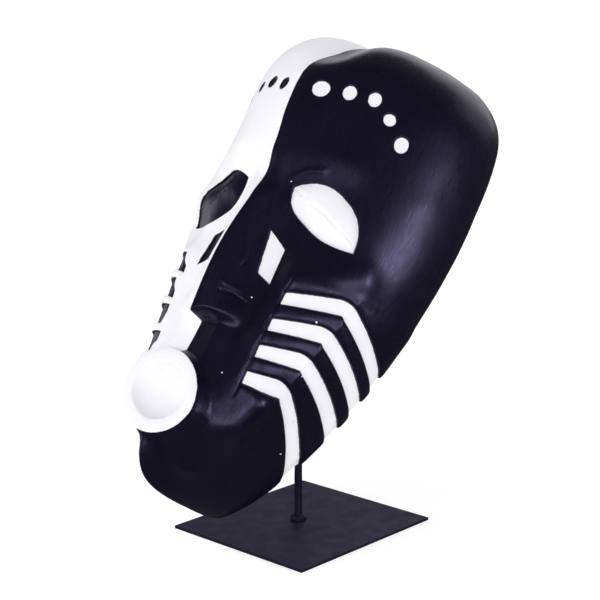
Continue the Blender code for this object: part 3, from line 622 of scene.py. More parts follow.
def hollow_lift(x, y):
    """The sunk middle of the face: eye sockets, troughs beside the nose and hollows beside the mouth."""
    away = np.abs(x)
    up = smooth((BROW_EDGE[0] - y) / BROW_EDGE[1]) * smooth((y - SOCKET_FOOT[0]) / SOCKET_FOOT[1])
    from_nose = smooth((away - SOCKET_NOSE_SIDE[0]) / SOCKET_NOSE_SIDE[1])
    lift = -EYE_SOCKET_DEPTH * up * from_nose * smooth((SOCKET_TEMPLE_SIDE[0] - away) / SOCKET_TEMPLE_SIDE[1])
    for hollow in HOLLOWS:
        lift = lift - sunk_place(away, y, hollow)
    for hollow in WHITE_SIDE_HOLLOWS:
        lift = lift - sunk_place(x, y, hollow)
    return lift


def distance_to_path(degrees, y, path):
    """Distance round the surface to a path of (degrees, height) points."""
    here = np.stack([np.abs(degrees) * per_degree(), y], -1)
    return distance_to_line(here, np.array(path) * (per_degree(), 1.0), closed=False)


def ridge_lift(degrees, y):
    """The rounded ridges of the cheekbone, the jaw and the crown."""
    lift = 0.0
    for rise, width, path in RIDGES:
        lift = lift + rise * bell(distance_to_path(degrees, y, path), width)
    return lift


def broad_lift(points):
    """Hollows, ridges, the striped panels' borders and the rise beside the creases through the knees."""
    x, y, z = points.T
    degrees = 90.0 - np.degrees(np.arctan2(z, x))
    foot_to_head = smooth((y - PANEL_FOOT[0]) / PANEL_FOOT[1]) * smooth((PANEL_HEAD[0] - y) / PANEL_HEAD[1])
    beyond = (np.abs(degrees) - panel_border(y, np.sign(degrees))) * per_degree()
    step = PANEL_LIFT * smooth(beyond / PANEL_STEP + 0.5)
    cut = PANEL_CUT[0] * bell(beyond + 0.5 * PANEL_STEP, PANEL_CUT[1])
    lift = hollow_lift(x, y) + ridge_lift(degrees, y) + (step - cut) * foot_to_head
    return lift + KNEE_RISE * np.exp(-distance_to_path(degrees, y, KNEE_CREASE) / KNEE_SPREAD)


def fine_lift(places):
    """Scored lines, narrow ridges and pits, that the mesh has edges along."""
    lift = np.zeros(len(places))
    for rise, width, line in fine_lines():
        lift += rise * bell(distance_to_line(places, line, closed=False), width)
    for degrees, height, depth, radius in PITS:
        middle = to_map(section_point(degrees, height))
        lift -= depth * bell(np.linalg.norm(places - middle, axis=1), radius)
    return lift


def hand_wave(points):
    """The slight unevenness that a knife and sandpaper leave."""
    return HAND_WAVE * noise_at(points / HAND_WAVE_SIZE) + KNIFE_WAVE * noise_at(points / KNIFE_WAVE_SIZE)


def nose_height(x, y):
    share = np.clip((NOSE_TOP - y) / (NOSE_TOP - NOSE_TIP), 0.0, 1.0)
    rise = NOSE_TOP_RISE + share * (NOSE_TIP_RISE - NOSE_TOP_RISE) + NOSE_BOW * np.sin(math.pi * share)
    half = NOSE_TOP_HALF + (NOSE_TIP_HALF - NOSE_TOP_HALF) * share**NOSE_FLARE
    fall = NOSE_TOP_FALL + (NOSE_TIP_FALL - NOSE_TOP_FALL) * share
    return DEPTH + rise - fall * (np.abs(x) / half) ** NOSE_ROUNDING


def nose_cut(x):
    """Height of the nose's lower edge, and how far below it the cut under the nose ends."""
    arch = np.tanh(np.abs(x) / NOSE_ARCH_RUN)
    return NOSE_TIP + NOSE_ARCH * arch, NOSE_UNDER + NOSE_SIDE_UNDER * arch


def with_nose(x, y, z):
    """The face with the nose standing on it."""
    raised = NOSE_CREASE * np.logaddexp(z / NOSE_CREASE, nose_height(x, y) / NOSE_CREASE)
    wing = ((np.abs(x) - WING_PLACE[0]) / WING_SIZE[0]) ** 2 + ((y - WING_PLACE[1]) / WING_SIZE[1]) ** 2
    raised = raised + WING_RISE * dome(wing)
    edge, under = nose_cut(x)
    foot = smooth((y - edge + under) / under)
    head = smooth((NOSE_TOP + NOSE_BLEND - y) / (2.0 * NOSE_BLEND))
    return z + foot * head * np.maximum(raised - z, 0.0)


def carve(places, outlines, reaches):
    """The finished outer surface at places on the flat map."""
    points = from_map(places)
    normals = normals_of(places)
    lift = broad_lift(points) + hand_wave(points)
    for (kind, side, _), reach in zip(outlines, reaches):
        wall = smooth((reach - WALL_FROM) / WALL_RUN)
        if kind == "eye":
            inner = np.clip(reach / EYE_HALF_HEIGHT[side], 0.0, 1.0)
            lift += -EYE_EDGE * wall + EYE_BULGE * (1.0 - (1.0 - inner) ** 2)
            a, b = eye_axis(side)
            line = bell(distance_to_line(places, np.array([a, b]), closed=False), LID_LINE_HALF)
            lift -= LID_LINE_DEPTH * line * (reach > 0.0)
        else:
            sunk = {"stripe": STRIPE_DEPTH, "mark": MARK_DEPTH, "dot": DOT_DEPTH}[kind]
            lift -= sunk * wall
            if kind == "stripe":
                lift -= BAR_ROUNDING * np.clip(1.0 + reach / BAR_SHOULDER, 0.0, 1.0) ** 2
    x, y = points[:, 0], points[:, 1]
    lifted = points + normals * lift[:, None]
    nose = with_nose(lifted[:, 0], lifted[:, 1], lifted[:, 2])
    beside = smooth((NOSE_REACH[0] - np.abs(x)) / NOSE_REACH[1])
    near_nose = beside * (y > NOSE_TIP - 2.0 * NOSE_UNDER) * (y < NOSE_TOP + 2.0 * NOSE_BLEND)
    lifted[:, 2] += near_nose * (nose - lifted[:, 2])
    lifted += normals * fine_lift(places)[:, None]
    return round_rim(set_mouth(lifted, points), places, normals)


def mouth_norm(x, y):
    """Distance from the middle of the mouth, as a share of the way to the ring's edge."""
    across, up = x - MOUTH_PLACE[0], y - MOUTH_PLACE[1]
    c, s = math.cos(MOUTH_TURN), math.sin(MOUTH_TURN)
    along = np.abs(across * c + up * s) / MOUTH_HALF[0]
    over = np.abs(up * c - across * s) / MOUTH_HALF[1]
    return (along**MOUTH_POWER + over**MOUTH_POWER) ** (1.0 / MOUTH_POWER)


def mouth_share(points):
    """The same distance, and large away from the front."""
    return np.where(points[:, 2] > FORWARD, mouth_norm(points[:, 0], points[:, 1]), NOT_IN_MOUTH)


def bowl_marks(share, x, y):
    """Radial marks of the gouge, on the low side of the bowl towards the black half."""
    turn = np.arctan2(y, x)
    place, spread = BOWL_MARK_TURN
    start, end, fade = BOWL_MARK_SHARES
    size, reach = BOWL_MARK_WANDER
    on_side = dome(((turn - place) / spread) ** 2) * smooth(share / start) * smooth((end - share) / fade)
    wander = noise_at(np.stack([x * size, y * size, np.full(len(x), BOWL_MARK_LAYER)], -1))
    return BOWL_MARK_DEPTH * on_side * (0.5 + 0.5 * np.sin(BOWL_MARKS * turn + reach * wander))


def set_mouth(lifted, points):
    """Moves the points near the mouth onto its ring, bowl and wall."""
    share = mouth_share(points)
    mine = share < MOUTH_REACH
    x, y = points[:, 0] - MOUTH_PLACE[0], points[:, 1] - MOUTH_PLACE[1]
    length = np.maximum(np.hypot(x, y), 1e-6)
    ring_radius = length / np.maximum(share, 1e-6)
    shares, radii, rises = np.array(MOUTH_PROFILE).T
    all_shares = np.append(shares, (MOUTH_ROOT, MOUTH_REACH))
    all_radii = np.append(radii, (MOUTH_ROOT_RADIUS, MOUTH_REACH))
    radius = np.interp(share, all_shares, all_radii)
    in_bowl = (ring_radius - RING_WIDTH) * np.minimum(radius / BOWL_RIM, 1.0)
    on_ring = RING_WIDTH * np.clip((radius - BOWL_RIM) / (1.0 - BOWL_RIM), 0.0, 1.0)
    grow = (in_bowl + on_ring + ring_radius * np.maximum(radius - 1.0, 0.0)) / length
    new_x, new_y = x * grow + MOUTH_PLACE[0], y * grow + MOUTH_PLACE[1]
    ground = face_height(new_x, new_y) + hollow_lift(new_x, new_y)
    ground = ground + ridge_lift(np.degrees(np.arctan2(new_x, ground)), new_y)
    block = DEPTH + MOUTH_FACE_RISE + BOWL_DEPTH * np.interp(share, shares, rises) - bowl_marks(share, x, y)
    to_ground = smooth((share - RING_EDGE) / (MOUTH_ROOT - RING_EDGE))
    height = block + (np.minimum(ground, block) - block) * to_ground
    blend = smooth((share - MOUTH_ROOT) / (MOUTH_REACH - MOUTH_ROOT))
    target = np.stack([new_x, new_y, height], -1)
    moved = target + (lifted - target) * blend[:, None]
    return np.where(mine[:, None], moved, lifted)


def rim_distance(places):
    _, length, edge = polar(places)
    return edge - length


def round_rim(lifted, places, normals):
    """Turns the last few units before the rim inward, as a worn bevel."""
    to_rim = rim_distance(places)
    u = np.clip(1.0 - to_rim / BEVEL, 0.0, 1.0)
    lifted = lifted - normals * (ROUNDING * u**RIM_CURVE)[:, None]
    lifted[to_rim < 1e-6, 2] = 0.0
    return lifted


# Points on the flat map that the mesh runs through
def rim_places(inward):
    angles = np.arange(RIM_POINTS) * 2.0 * math.pi / RIM_POINTS + math.pi / 2
    return round_place(oval_radius(angles) - inward, angles)


def grid_places(spacing, margin):
    rows = np.arange(-LENGTH_RADIUS, LENGTH_RADIUS, spacing * math.sqrt(0.75))
    columns = np.arange(-WRAP_RADIUS - spacing, WRAP_RADIUS, spacing)
    shift = 0.5 * spacing * (np.arange(len(rows)) % 2)
    across = columns[None, :] + shift[:, None]
    places = np.stack([across, np.broadcast_to(rows[:, None], across.shape)], -1).reshape(-1, 2)
    return places[rim_distance(places) > margin]


def front_places(x, y):
    return to_map(np.stack([x, y, face_height(x, y)], -1))


def mouth_rings():
    rings = []
    for share in [row[0] for row in MOUTH_PROFILE[1:]] + list(MOUTH_FOOT_ROWS):
        count = max(12, int(2.0 * math.pi * share * MOUTH_HALF[0] / LINE_SPACING))
        turns = np.arange(count) * 2.0 * math.pi / count + math.pi / 2
        reach = share / mouth_norm(MOUTH_PLACE[0] + np.cos(turns), MOUTH_PLACE[1] + np.sin(turns))
        x = MOUTH_PLACE[0] + reach * np.cos(turns)
        rings.append(front_places(x, MOUTH_PLACE[1] + reach * np.sin(turns)))
    return rings


def nose_edges():
    """Lines across the face at the nose's tip and under it, so that its cut stays crisp."""
    x = np.linspace(-NOSE_EDGE_REACH, NOSE_EDGE_REACH, NOSE_EDGE_POINTS) * NOSE_TIP_HALF
    edge, under = nose_cut(x)
    return [front_places(x, edge - drop * under / NOSE_UNDER) for drop in NOSE_EDGE_DROPS]


def line_shift(heights):
    """How far the line between the colours lies to the white side, on the flat map."""
    below = LINE_SHIFT * smooth((LINE_SHIFT_FROM - heights) / LINE_SHIFT_RUN)
    return below + CROWN_LINE_SHIFT * smooth((heights - CROWN_LINE_FROM) / CROWN_LINE_RUN)


def middle_lines():
    """The keel of the chin, and the line between the two colours from the top notch to the chin."""
    rows = np.arange(-LENGTH_RADIUS + LINE_END_GAP, LENGTH_RADIUS - LINE_END_GAP, LINE_SPACING)
    keel = np.stack([np.zeros(len(rows)), rows], -1)
    heights = from_map(keel)[:, 1]
    line = keel - np.stack([line_shift(heights), np.zeros(len(rows))], -1)
    return [line, keel[heights < LINE_SHIFT_FROM - 0.5 * LINE_SHIFT_RUN]]


def carved_line_chains():
    """Points along and beside the scored lines, the panels' borders and the creases through the knees."""
    chains = []
    for _, width, line in fine_lines():
        chains += [beside(line, share * width) for share in LINE_ROWS]
    for side in (1, -1):
        heights = np.arange(PANEL_FOOT[0] + 0.5 * PANEL_FOOT[1], PANEL_HEAD[0], LINE_SPACING)
        border = section_outline(np.stack([panel_border(heights, side), heights], -1), side)
        chains += [beside(border, share * PANEL_STEP) for share in BORDER_ROWS]
        crease = with_points(section_outline(KNEE_CREASE, side), closed=False)
        chains += [beside(crease, reach) for reach in CREASE_ROWS]
    return chains


def beside(line, distance):
    """An open line moved sideways on the flat map."""
    return line + distance * to_left(np.gradient(line, axis=0))


def triangulate(loops, chains, loose, clear):
    """A triangle mesh over the flat map that keeps every loop and chain as edges."""
    places, edges = [], []
    for line, closed in [(loop, True) for loop in loops] + [(chain, False) for chain in chains]:
        first, count = len(places), len(line)
        places.extend(line)
        edges.extend((first + k, first + (k + 1) % count) for k in range(count if closed else count - 1))
    tree = KDTree(len(places))
    for index, place in enumerate(places):
        tree.insert((place[0], place[1], 0.0), index)
    tree.balance()
    kept = [p for p in loose if tree.find((p[0], p[1], 0.0))[2] > clear]
    flat = [Vector((float(p[0]), float(p[1]))) for p in places + kept]
    verts, _, faces, _, _, _ = delaunay_2d_cdt(flat, edges, [], 0, 1e-4)
    verts = np.array([tuple(v) for v in verts])
    faces = np.array([tuple(f) for f in faces])
    a, b, c = verts[faces[:, 0]], verts[faces[:, 1]], verts[faces[:, 2]]
    area = (b[:, 0] - a[:, 0]) * (c[:, 1] - a[:, 1]) - (b[:, 1] - a[:, 1]) * (c[:, 0] - a[:, 0])
    return verts, np.where((area > 0)[:, None], faces, faces[:, [0, 2, 1]])


def rim_order(places):
    """Indices of the points on the oval's edge, in order of angle."""
    found = np.flatnonzero(rim_distance(places) < 1e-3)
    angle = np.arctan2(places[found, 1], places[found, 0])
    return found[np.argsort(angle)]


def near_detail(places):
    """True where the carving is fine enough to need the close spacing."""
    points = from_map(places)
    x, y, z = points.T
    half, low, high = NOSE_DETAIL
    on_nose = (np.abs(x) < half) & (y > low) & (y < high) & (z > FORWARD)
    in_mouth = mouth_share(points) < MOUTH_REACH
    in_eye = np.zeros(len(places), bool)
    for side in (1, -1):
        in_eye |= depth_inside(places, eye_outline(side)) > -EYE_DETAIL
    return on_nose | in_mouth | in_eye


def outer_map(outlines):
    loops = [rim_places(share * BEVEL) for share in RIM_ROWS]
    loops += mouth_rings()
    for _, _, edge in outlines:
        loops += [held_inside(inset(edge, step)) for step in EDGE_STEPS]
    coarse = grid_places(OUTER_SPACING, BEVEL + 0.5 * OUTER_SPACING)
    fine = grid_places(DETAIL_SPACING, BEVEL + 0.5 * OUTER_SPACING)
    loose = np.concatenate([coarse[~near_detail(coarse)], fine[near_detail(fine)]])
    chains = nose_edges() + middle_lines() + carved_line_chains()
    for degrees, height, radius in SPECKS:
        side = math.copysign(1.0, degrees)
        for reach in (radius, radius + SPECK_EDGE):
            loops.append(dot_outline((abs(degrees), height, reach, reach), side, SPECK_POINTS))
    for side in (1, -1):
        a, b = eye_axis(side)
        end = LID_LINE_ENDS * (b - a)
        chains.append(with_points(np.array([a + end, b - end]), closed=False))
    return triangulate(loops, chains, loose, 0.5 * DETAIL_SPACING)


def inner_map():
    loops = [rim_places(share * ROUNDING) for share in INNER_RIM_ROWS]
    loose = grid_places(INNER_SPACING, 2.0 * ROUNDING + 0.5 * INNER_SPACING)
    return triangulate(loops, [], loose, 0.4 * INNER_SPACING)


def gouges(places):
    """Long shallow scoops left by the gouge that hollowed the back, as a depth."""
    u, v = places[:, 0] / GOUGE_SIZE[0], places[:, 1] / GOUGE_SIZE[1]
    step, sway, turn = GOUGE_SHIFT
    shift = step * np.floor(u) + sway * np.sin(turn * np.floor(u))
    across = u - np.floor(u) - 0.5
    along = v + shift - np.floor(v + shift) - 0.5
    return GOUGE_DEPTH * (1.0 - GOUGE_ROUNDING[0] * across**2 - GOUGE_ROUNDING[1] * along**2)


def inner_surface(places):
    """The hollow behind: each point is pulled to the middle by the wall and by the carving in front of it."""
    points, normals = from_map(places), normals_of(places)
    radius = np.linalg.norm(points - CENTRE, axis=1)
    way = (points - CENTRE) / radius[:, None]
    facing = np.maximum(np.sum(way * normals, axis=1), LEAST_FACING)
    x, y = points[:, 0], points[:, 1]
    in_mouth = mouth_norm(x, y) / BOWL_BACK_REACH
    behind_bowl = BOWL_DEPTH * dome(in_mouth**2) * (points[:, 2] > FORWARD)
    to_rim = rim_distance(places)
    scoops = gouges(places) * smooth((to_rim - 2.0 * ROUNDING) / GOUGE_FADE)
    arris = ARRIS * ROUNDING * np.clip(1.0 - to_rim / (2.0 * ROUNDING), 0.0, 1.0) ** 2
    back = WALL_UNITS - np.minimum(hollow_lift(x, y), 0.0) + behind_bowl - scoops - arris
    inner = CENTRE + (radius - back / facing)[:, None] * way
    inner[to_rim < 1e-3, 2] = 0.0
    return inner


def mask_pose():
    turn = Matrix.Rotation(TURN, 4, "Z") @ Matrix.Rotation(TILT, 4, "Y")
    lean = Matrix.Rotation(math.pi / 2 - LEAN_BACK, 4, "X")
    return Matrix.Translation(CHIN_PLACE) @ turn @ lean


# Paint is a signed distance in units from the nearest border between the colours, positive on white
def paint_of(places, outlines, reaches):
    points = from_map(places)
    paint = -places[:, 0] - line_shift(points[:, 1])
    for (_, side, _), reach in zip(outlines, reaches):
        inside = reach - PAINT_INSET[side]
        paint = np.sign(paint) * np.where(inside > 0.0, -inside, np.minimum(np.abs(paint), -inside))
    on_ring = (RING_EDGE - mouth_share(points)) * MOUTH_HALF[1]
    paint = np.where(on_ring > 0.0, on_ring, np.where(paint > 0.0, paint, np.maximum(paint, on_ring)))
    for degrees, height, radius in SPECKS:
        middle = to_map(section_point(degrees, height))
        inside = radius + 0.5 * SPECK_EDGE - np.linalg.norm(places - middle, axis=1)
        paint = np.where(inside > 0.0, 1.0, paint)
    return paint


def add_point_values(mesh, name, values, kind="FLOAT"):
    attribute = mesh.attributes.new(name, kind, "POINT")
    field = "value" if kind == "FLOAT" else "vector"
    attribute.data.foreach_set(field, np.ascontiguousarray(values, np.float32).ravel())


def rim_wall(points, outer_rim, inner_rim):
    """All the points with those of the wall between the two rims added, and the wall's faces."""
    rows = [outer_rim]
    for u in WALL_ROWS:
        rows.append(np.arange(RIM_POINTS) + len(points))
        between = points[outer_rim] + u * (points[inner_rim] - points[outer_rim])
        points = np.concatenate([points, between])
    rows.append(inner_rim)
    faces = []
    for first, second in zip(rows[:-1], rows[1:]):
        for a, b, c, d in zip(first, np.roll(first, -1), second, np.roll(second, -1)):
            faces += [(a, c, d), (a, d, b)]
    return points, np.array(faces)


def make_mask():
    outlines = carvings()
    places, outer_faces = outer_map(outlines)
    inside_places, inside_faces = inner_map()
    reaches = [depth_inside(places, edge) for _, _, edge in outlines]
    outer = carve(places, outlines, reaches)
    count = len(outer)
    points = np.concatenate([outer, inner_surface(inside_places)])
    points, wall_faces = rim_wall(points, rim_order(places), rim_order(inside_places) + count)
    faces = np.concatenate([outer_faces, inside_faces[:, [0, 2, 1]] + count, wall_faces])
    mesh = bpy.data.meshes.new("carved_mask")
    mesh.from_pydata((points * UNIT).tolist(), [], faces.tolist())
    paint = np.full(len(points), PAINT_BEHIND)
    paint[:count] = paint_of(places, outlines, reaches)
    add_point_values(mesh, "paint", paint)
    add_point_values(mesh, "grain", points * UNIT, "FLOAT_VECTOR")
    mesh.materials.append(paint_material())
    mesh.materials.append(stained_wood())
    slots = np.zeros(len(faces), np.int32)
    slots[len(outer_faces):] = 1
    mesh.polygons.foreach_set("material_index", slots)
    mesh.transform(mask_pose())
    mesh.shade_smooth()
    mesh.set_sharp_from_angle(angle=SHARP_ANGLE)
    add_piece("carved_mask", mesh, "painted_wood", "mask")


def new_object(name, data):
    item = bpy.data.objects.new(name, data)
    bpy.context.scene.collection.objects.link(item)
    return item


def add_piece(name, mesh, slot, *replaced):
    piece = new_object(name, mesh)
    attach(piece, "root")
    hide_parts(*replaced)


# Materials, with each colour that varies as (darker, lighter). Scales of noise are per metre
PAINT_SHEEN = (0.60, 0.54, 1.0, 1.0)
BLACK = ((0.0030, 0.0024, 0.0078, 1.0), (0.0046, 0.0038, 0.0112, 1.0))
WORN_BLACK = (0.008, 0.007, 0.016, 1.0)
CHALK = ((0.88, 0.875, 0.90, 1.0), (0.93, 0.925, 0.94, 1.0))
WARM_CHALK = (0.86, 0.845, 0.835, 1.0)
CHALK_STREAK = (0.74, 0.73, 0.76, 1.0)
STAIN = ((0.012, 0.008, 0.007, 1.0), (0.050, 0.030, 0.021, 1.0))
PORE = (0.006, 0.004, 0.004, 1.0)
STEEL = ((0.011, 0.0095, 0.020, 1.0), (0.019, 0.0165, 0.031, 1.0))
STEEL_SPECK = (0.10, 0.10, 0.11, 1.0)
FLOOR = ((0.48, 0.48, 0.49, 1.0), (0.52, 0.52, 0.53, 1.0))
WHITE = (1.0, 1.0, 1.0, 1.0)


class Nodes:
    """A short way to add shader nodes and link them."""

    def __init__(self, name):
        self.material = bpy.data.materials.new(name)
        self.material.use_nodes = True
        self.tree = self.material.node_tree
        self.shader = self.tree.nodes["Principled BSDF"]

    def add(self, kind, inputs=None, **settings):
        node = self.tree.nodes.new(kind)
        for key, value in settings.items():
            setattr(node, key, value)
        for key, value in (inputs or {}).items():
            self.put(node.inputs[key], value)
        return node

    def put(self, socket, value):
        if isinstance(value, bpy.types.NodeSocket):
            self.tree.links.new(value, socket)
        else:
            socket.default_value = value

    def attribute(self, name, output="Fac"):
        return self.add("ShaderNodeAttribute", attribute_name=name).outputs[output]

    def place(self):
        return self.add("ShaderNodeTexCoord").outputs["Object"]

    def noise(self, vector, scale, detail, roughness=0.5):
        inputs = {"Vector": vector, "Scale": scale, "Detail": detail, "Roughness": roughness}
        return self.add("ShaderNodeTexNoise", inputs).outputs["Fac"]

    def streaks(self, vector, across, along, detail, roughness):
        """Noise drawn out along the grain, with its scales across and along it."""
        inputs = {"Vector": vector, "Scale": (across, along, across)}
        drawn = self.add("ShaderNodeMapping", inputs).outputs["Vector"]
        return self.noise(drawn, 1.0, detail, roughness)

    def math(self, operation, a, b):
        return self.add("ShaderNodeMath", {0: a, 1: b}, operation=operation).outputs[0]

    def span(self, value, low, high, to_low=0.0, to_high=1.0, smoothly=False):
        kind = "SMOOTHSTEP" if smoothly else "LINEAR"
        inputs = {"Value": value, "From Min": low, "From Max": high, "To Min": to_low, "To Max": to_high}
        return self.add("ShaderNodeMapRange", inputs, interpolation_type=kind).outputs[0]

    def spread(self, value, to_low=0.0, to_high=1.0):
        """The range that most of a noise's values are in, spread over another range."""
        return self.span(value, 0.3, 0.7, to_low, to_high)

    def mix(self, share, first, second):
        return self.add("ShaderNodeMix", {0: share, 6: first, 7: second}, data_type="RGBA").outputs[2]

    def bump(self, height, distance, strength, below=None):
        inputs = {"Height": height, "Distance": distance, "Strength": strength}
        if below is not None:
            inputs["Normal"] = below
        return self.add("ShaderNodeBump", inputs).outputs["Normal"]

    def finish(self, **inputs):
        for key, value in inputs.items():
            self.put(self.shader.inputs[key.replace("_", " ")], value)
        return self.material


def paint_material():
    """Both paints with brush streaks, broad blotches and worn places, and a slightly wavy border between."""
    n = Nodes("two_colour_paint")
    grain = n.attribute("grain", "Vector")
    wobble = n.math("MULTIPLY", n.math("SUBTRACT", n.noise(grain, 350.0, 2.0), 0.5), 0.5)
    paint = n.math("ADD", n.attribute("paint"), wobble)
    white = n.span(paint, -0.10, 0.10, smoothly=True)
    streaks = n.streaks(grain, 1500.0, 90.0, 4.0, 0.6)
    broad = n.noise(grain, 26.0, 4.0, 0.55)
    cloud = n.noise(grain, 9.0, 2.0, 0.5)
    fine = n.noise(grain, 1500.0, 2.0)
    black = n.mix(n.spread(broad), *BLACK)
    black = n.mix(n.span(streaks, 0.62, 0.80, 0.0, 0.4), black, WORN_BLACK)
    chalk = n.mix(n.spread(broad), *CHALK)
    chalk = n.mix(n.span(cloud, 0.55, 0.75, 0.0, 0.35), chalk, WARM_CHALK)
    chalk = n.mix(n.span(streaks, 0.66, 0.80, 0.0, 0.30), chalk, CHALK_STREAK)
    black_rough = n.spread(streaks, 0.24, 0.38)
    white_rough = n.spread(streaks, 0.50, 0.62)
    both = {0: white, 2: black_rough, 3: white_rough}
    roughness = n.add("ShaderNodeMix", both, data_type="FLOAT").outputs[0]
    normal = n.bump(fine, 0.00005, 0.5, n.bump(streaks, 0.0001, 0.6))
    colour = n.mix(white, black, chalk)
    return n.finish(Base_Color=colour, Roughness=roughness, Normal=normal, Specular_Tint=PAINT_SHEEN)


def stained_wood():
    """Dark stain in long streaks of grain, with fine pores."""
    n = Nodes("stained_wood")
    grain = n.attribute("grain", "Vector")
    bend = n.noise(grain, 18.0, 2.0)
    streaks = n.streaks(grain, 420.0, 16.0, 5.0, 0.6)
    pores = n.streaks(grain, 2600.0, 160.0, 2.0, 0.5)
    tone = n.math("ADD", streaks, n.math("MULTIPLY", bend, 0.35))
    colour = n.mix(n.span(tone, 0.5, 0.9), *STAIN)
    colour = n.mix(n.span(pores, 0.60, 0.72), colour, PORE)
    normal = n.bump(pores, 0.0003, 0.5, n.bump(streaks, 0.0006, 0.5))
    return n.finish(Base_Color=colour, Roughness=n.spread(streaks, 0.55, 0.75), Normal=normal)


def black_steel():
    """Matte paint on steel: mottled, gritty and with a few pale specks."""
    n = Nodes("black_steel")
    place = n.place()
    mottle = n.noise(place, 90.0, 4.0, 0.6)
    grit = n.noise(place, 2600.0, 2.0, 0.6)
    specks = n.noise(place, 900.0, 1.0)
    colour = n.mix(n.spread(mottle), *STEEL)
    colour = n.mix(n.span(specks, 0.74, 0.80), colour, STEEL_SPECK)
    normal = n.bump(mottle, 0.0003, 0.3, n.bump(grit, 0.00012, 0.6))
    roughness = n.spread(mottle, 0.48, 0.66)
    return n.finish(Base_Color=colour, Metallic=0.3, Roughness=roughness, Normal=normal,
                    Specular_IOR_Level=0.3, Specular_Tint=PAINT_SHEEN)


def floor_material():
    n = Nodes("pale_floor")
    colour = n.mix(n.noise(n.place(), 3.0, 2.0), *FLOOR)
    return n.finish(Base_Color=colour, Roughness=0.9, Emission_Color=WHITE, Emission_Strength=FLOOR_GLOW)


# Studio: a pale floor that sweeps up all round, softboxes and the photograph's viewpoint
CAMERA_PLACE = Vector((0.6219, -0.6779, 0.3422))
CAMERA_TURN = math.radians(42.64)
CAMERA_DROP = math.radians(11.66)
CAMERA_LENS = 87.42
SENSOR = 36.0
FLOOR_RADIUS = 2.4
SWEEP_RADIUS = 1.0
WALL_TOP = 4.6
FLOOR_STEPS = 96
SWEEP_DEGREES = 9
FLOOR_GLOW = 0.66
SKY = (0.92, 0.90, 1.0, 1.0)
SKY_STRENGTH = 0.10
LIT_PLACE = Vector((0.0, -0.02, 0.17))

# Softboxes as (name, degrees from -Y towards +X, elevation, distance, width, height, brightness, what they
# light)
SOFTBOXES = (
    ("right_softbox", 86.0, 4.0, 1.7, 0.32, 0.78, 11.0, "gloss"),
    ("key_softbox", 54.0, 1.0, 1.75, 0.50, 0.42, 3.5, "gloss"),
    ("right_wall", 58.0, 3.0, 1.9, 1.70, 0.75, 1.7, "gloss"),
    ("front_softbox", 16.0, 10.0, 1.8, 0.60, 0.62, 4.5, "gloss"),
    ("front_wall", -10.0, 6.0, 1.9, 1.60, 0.80, 0.6, "gloss"),
    ("left_wall", -78.0, 3.0, 1.9, 1.40, 0.80, 1.3, "gloss"),
    ("back_wall", -162.0, 28.0, 2.2, 2.40, 1.40, 1.1, "gloss"),
    ("back_softbox", 150.0, 28.0, 2.0, 0.80, 0.90, 0.7, "gloss"),
    ("front_fill", 10.0, 15.0, 1.9, 1.00, 1.00, 1.6, "paint"),
    ("top_fill", -30.0, 62.0, 1.9, 1.20, 1.20, 0.9, "paint"),
)


def direction(turn, rise):
    """A unit vector, turned from -Y towards +X and raised over the level."""
    return Vector((math.sin(turn) * math.cos(rise), -math.cos(turn) * math.cos(rise), math.sin(rise)))


def make_camera():
    back = direction(CAMERA_TURN, CAMERA_DROP)
    right = direction(CAMERA_TURN + math.pi / 2, 0.0)
    up = direction(CAMERA_TURN, CAMERA_DROP + math.pi / 2)
    data = bpy.data.cameras.new("photo_camera")
    data.lens = CAMERA_LENS
    data.sensor_width = SENSOR
    camera = new_object("photo_camera", data)
    camera.matrix_world = Matrix((right, up, back)).transposed().to_4x4()
    camera.matrix_world.translation = CAMERA_PLACE
    bpy.context.scene.camera = camera


def make_floor():
    """A round floor that curves up into a wall. Glossy rays pass through it, so that reflections stay dim."""
    profile = [(0.0, 0.0), (0.5 * FLOOR_RADIUS, 0.0)]
    for degrees in range(0, 91, SWEEP_DEGREES):
        turn = math.radians(degrees)
        out = FLOOR_RADIUS + SWEEP_RADIUS * math.sin(turn)
        profile.append((out, SWEEP_RADIUS * (1.0 - math.cos(turn))))
    profile.append((FLOOR_RADIUS + SWEEP_RADIUS, WALL_TOP))
    shape = bmesh.new()
    verts = [shape.verts.new((x, 0.0, z)) for x, z in profile]
    edges = [shape.edges.new(pair) for pair in zip(verts[:-1], verts[1:])]
    bmesh.ops.spin(shape, geom=verts + edges, axis=(0.0, 0.0, 1.0), cent=(0.0, 0.0, 0.0), angle=2.0 * math.pi,
                   steps=FLOOR_STEPS)
    bmesh.ops.remove_doubles(shape, verts=shape.verts, dist=1e-4)
    bmesh.ops.recalc_face_normals(shape, faces=shape.faces)
    mesh = bpy.data.meshes.new("studio_floor")
    shape.to_mesh(mesh)
    shape.free()
    mesh.shade_smooth()
    mesh.materials.append(floor_material())
    floor = new_object("studio_floor", mesh)
    floor.visible_glossy = False


def add_softbox(name, azimuth, elevation, distance, width, height, brightness, lights):
    way = direction(math.radians(azimuth), math.radians(elevation))
    data = bpy.data.lights.new(name, "AREA")
    data.shape = "RECTANGLE"
    data.size = width
    data.size_y = height
    data.energy = brightness * math.pi * width * height
    light = new_object(name, data)
    light.location = LIT_PLACE + distance * way
    light.rotation_euler = way.to_track_quat("Z", "Y").to_euler()
    light.visible_camera = False
    light.visible_diffuse = lights == "paint"
    light.visible_glossy = lights == "gloss"


def make_lights():
    world = bpy.data.worlds.new("studio")
    bpy.context.scene.world = world
    world.use_nodes = True
    background = world.node_tree.nodes["Background"].inputs
    background["Color"].default_value = SKY
    background["Strength"].default_value = SKY_STRENGTH
    for softbox in SOFTBOXES:
        add_softbox(*softbox)
    bpy.context.scene.view_settings.view_transform = "Standard"


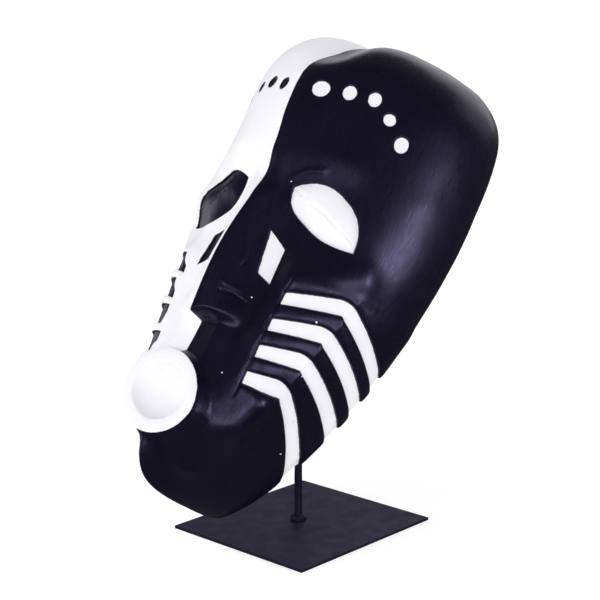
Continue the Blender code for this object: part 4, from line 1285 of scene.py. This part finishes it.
# The upright rod: a square bar with worn corners, and a lumpy bead of weld round its foot
ROD_POINTS = 48
ROD_ROWS = 90
ROD_SQUARENESS = 5.0
ROD_ROWS_TO_FOOT = 2.2
ROD_SHARP_ANGLE = math.radians(50.0)
BEAD_HEIGHT = 0.0034
BEAD_SPREAD = 0.0028
BEAD_LUMP = 0.0009
BEAD_NOISE = (1.6, 500.0)
ROD_WAVE = 0.00012
ROD_NOISE = (1.5, 120.0)


def lumps(way, z, scales):
    """Unevenness round the rod, in directions from its middle and heights in metres."""
    return noise.noise(way * scales[0] + Vector((0.0, 0.0, z * scales[1])))


def make_rod():
    low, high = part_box("upright_rod")
    middle = 0.5 * (low + high)
    half = 0.5 * ROD_SIDE
    turns = np.arange(ROD_POINTS) * 2.0 * math.pi / ROD_POINTS
    across, along = np.abs(np.cos(turns)), np.abs(np.sin(turns))
    square = (across**ROD_SQUARENESS + along**ROD_SQUARENESS) ** (-1.0 / ROD_SQUARENESS)
    share = np.linspace(0.0, 1.0, ROD_ROWS) ** ROD_ROWS_TO_FOOT
    points = []
    for z in low.z + share * (high.z - low.z):
        above = (z - low.z) / BEAD_HEIGHT
        spread = BEAD_SPREAD * math.sqrt(max(0.0, 1.0 - above**2)) if above < 1.0 else 0.0
        for turn, reach in zip(turns, square):
            way = Vector((math.cos(turn), math.sin(turn), 0.0))
            lump = BEAD_LUMP * lumps(way, z, BEAD_NOISE) if spread > 0.0 else 0.0
            wave = ROD_WAVE * lumps(way, z, ROD_NOISE)
            points.append(Vector((middle.x, middle.y, z)) + way * (half * reach + spread + lump + wave))
    faces = []
    for row in range(ROD_ROWS - 1):
        for k in range(ROD_POINTS):
            a, b = row * ROD_POINTS + k, row * ROD_POINTS + (k + 1) % ROD_POINTS
            faces.append((a, b, b + ROD_POINTS, a + ROD_POINTS))
    faces.append(tuple(reversed(range(ROD_POINTS))))
    faces.append(tuple(range((ROD_ROWS - 1) * ROD_POINTS, ROD_ROWS * ROD_POINTS)))
    mesh = bpy.data.meshes.new("welded_rod")
    mesh.from_pydata(points, [], faces)
    mesh.shade_smooth()
    mesh.set_sharp_from_angle(angle=ROD_SHARP_ANGLE)
    mesh.materials.append(black_steel())
    add_piece("welded_rod", mesh, "black_steel", "upright_rod")


def dress_plate():
    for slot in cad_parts["base_plate"].material_slots:
        slot.material = black_steel()


def main():
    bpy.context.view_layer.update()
    make_camera()
    make_mask()
    make_rod()
    dress_plate()
    make_floor()
    make_lights()


main()
